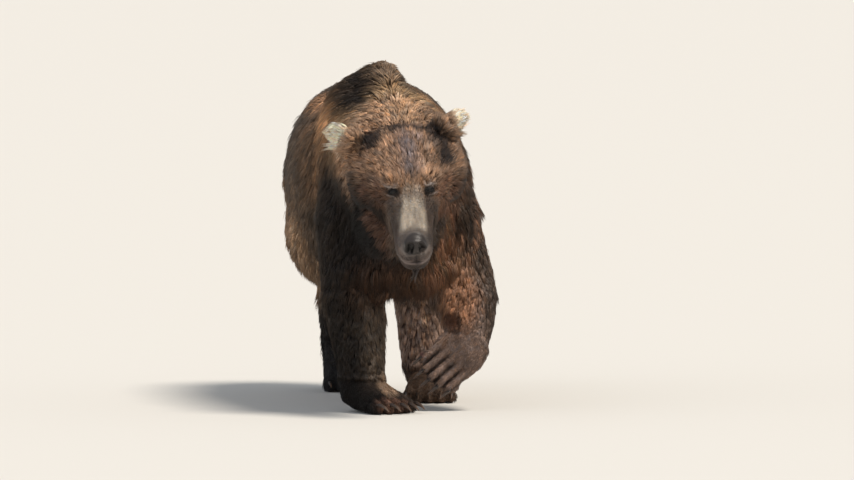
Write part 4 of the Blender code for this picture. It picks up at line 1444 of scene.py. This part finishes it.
# %% Claws
HORN_IOR = 1.54
GRAIN_ACROSS, GRAIN_ALONG = 9.0, 1.2


def claw_horn(foot, axis):
    """Horn whose colour runs down one axis of each claw's box, from the base at its high end."""
    material, tree = new_material("claw_horn_" + foot)
    in_box = add_node(tree, "TexCoord").outputs["Generated"]
    parts = add_node(tree, "SeparateXYZ", Vector=in_box)
    along = add_node(tree, "MapRange", Value=parts.outputs[axis], To_Min=1.0, To_Max=0.0)
    stretch = [GRAIN_ALONG if name == axis else GRAIN_ACROSS for name in "XYZ"]
    drawn_out = add_node(tree, "Mapping", Vector=in_box, Scale=stretch)
    grain = add_node(tree, "TexNoise", Vector=drawn_out, Scale=1.6, Detail=3.0)
    bands = colours_along(tree, along, (0.30, "1C1511"), (0.98, "6E5542"), (0.65, "3A2B21"))
    streak = add_node(tree, "MapRange", Value=grain, From_Min=0.5, From_Max=0.72)
    horn = add_node(tree, "Mix", {"data_type": "RGBA"}, i0=streak, i6=bands, i7=rgba("5A4636"))
    bump = add_node(tree, "Bump", Height=grain, Strength=0.35, Distance=0.4 * MM)
    finish_with(tree, Base_Color=horn.outputs[2], Roughness=0.33, IOR=HORN_IOR, Normal=bump)
    return material


for foot in FEET:
    horn = claw_horn(foot, "Z" if foot == "forepaw_left" else "Y")
    for number in CLAW_NUMBERS:
        claw_mesh = NODES[f"claw_{foot}_{number}"].data
        claw_mesh.materials.clear()
        claw_mesh.materials.append(horn)
print("twenty claws of horn")

# %% [markdown]
# The studio is a pale floor that runs to the horizon, a broad soft key from high on the right, a
# weaker fill, and an even grey sky. Big sources give soft shadows, which suit fur.

# %% Floor and lights
FLOOR_HALF = 200.0
floor_mesh = bpy.data.meshes.new("floor")
floor_corners = [(x * FLOOR_HALF, y * FLOOR_HALF, 0) for x, y in ((-1, -1), (1, -1), (1, 1), (-1, 1))]
floor_mesh.from_pydata(floor_corners, [], [(0, 1, 2, 3)])
floor = add_object("floor", floor_mesh)
floor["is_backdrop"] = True
paper, tree = new_material("studio_paper")
finish_with(tree, Base_Color=rgba("D9D6D0"), Roughness=0.9)
floor_mesh.materials.append(paper)

world = bpy.data.worlds.new("studio_sky")
world.use_nodes = True
world.node_tree.nodes["Background"].inputs["Color"].default_value = rgba("DCE2E8")
world.node_tree.nodes["Background"].inputs["Strength"].default_value = 0.50
scene.world = world


def soft_light(name, height, bearing, strength, spread, hex_colour):
    """A distant source: height and bearing in degrees, bearing 0 from the front, 90 from the bear's left."""
    lamp = bpy.data.lights.new(name, "SUN")
    lamp.energy, lamp.angle, lamp.color = strength, math.radians(spread), linear(hex_colour)
    light = add_object(name, lamp)
    up, around_z = math.radians(height), math.radians(bearing)
    source = Vector((math.sin(around_z) * math.cos(up), -math.cos(around_z) * math.cos(up), math.sin(up)))
    light.rotation_euler = source.to_track_quat("Z", "Y").to_euler()


soft_light("key", 60, 45, 3.3, 18, "FFF6EA")
soft_light("fill", 35, -50, 0.5, 60, "EAF0FF")
print("floor, sky and two soft lights")

# %% [markdown]
# The camera is a long lens far away, level with a standing person, looking slightly down. It faces the
# bear a few degrees off its line of walk. From so far, the near paw and the rump keep their true
# proportions, as they would at the edge of a river.

# %% Camera
CAMERA_BEARING = math.radians(-7)
CAMERA_DISTANCE = 26.0
CAMERA_HEIGHT = 1.65
LENS, SENSOR = 328.8, 36.0
LOOK_DOWN, LOOK_RIGHT = math.radians(2.37), math.radians(0.38)
aim_point = Vector((-0.095, -0.433, 0))
away = Vector((-math.sin(CAMERA_BEARING), math.cos(CAMERA_BEARING), 0))
right = Vector((math.cos(CAMERA_BEARING), math.sin(CAMERA_BEARING), 0))
camera = add_object("camera", bpy.data.cameras.new("camera"))
camera.data.sensor_width, camera.data.lens, camera.data.clip_end = SENSOR, LENS, 600
camera.location = aim_point - away * CAMERA_DISTANCE + Vector((0, 0, CAMERA_HEIGHT))
level_view = away * math.cos(LOOK_RIGHT) + right * math.sin(LOOK_RIGHT)
view = level_view * math.cos(LOOK_DOWN) - Vector((0, 0, math.sin(LOOK_DOWN)))
camera.rotation_mode = "QUATERNION"
camera.rotation_quaternion = view.to_track_quat("-Z", "Y")
scene.camera = camera
scene.view_settings.view_transform = "Standard"
print("camera at", [round(value, 2) for value in camera.location])

# %% [markdown]
# The last check compares the fur's box with the solids' box, because the looks may not change the size.

# %% Sizes
shown_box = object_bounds()
for axis, low, high, shown_low, shown_high in zip("xyz", *solid_box, *shown_box):
    past_low, past_high = 1000 * (low - shown_low), 1000 * (shown_high - high)
    print(f"{axis}: {past_low:.0f} mm past the low side, {past_high:.0f} past the high")
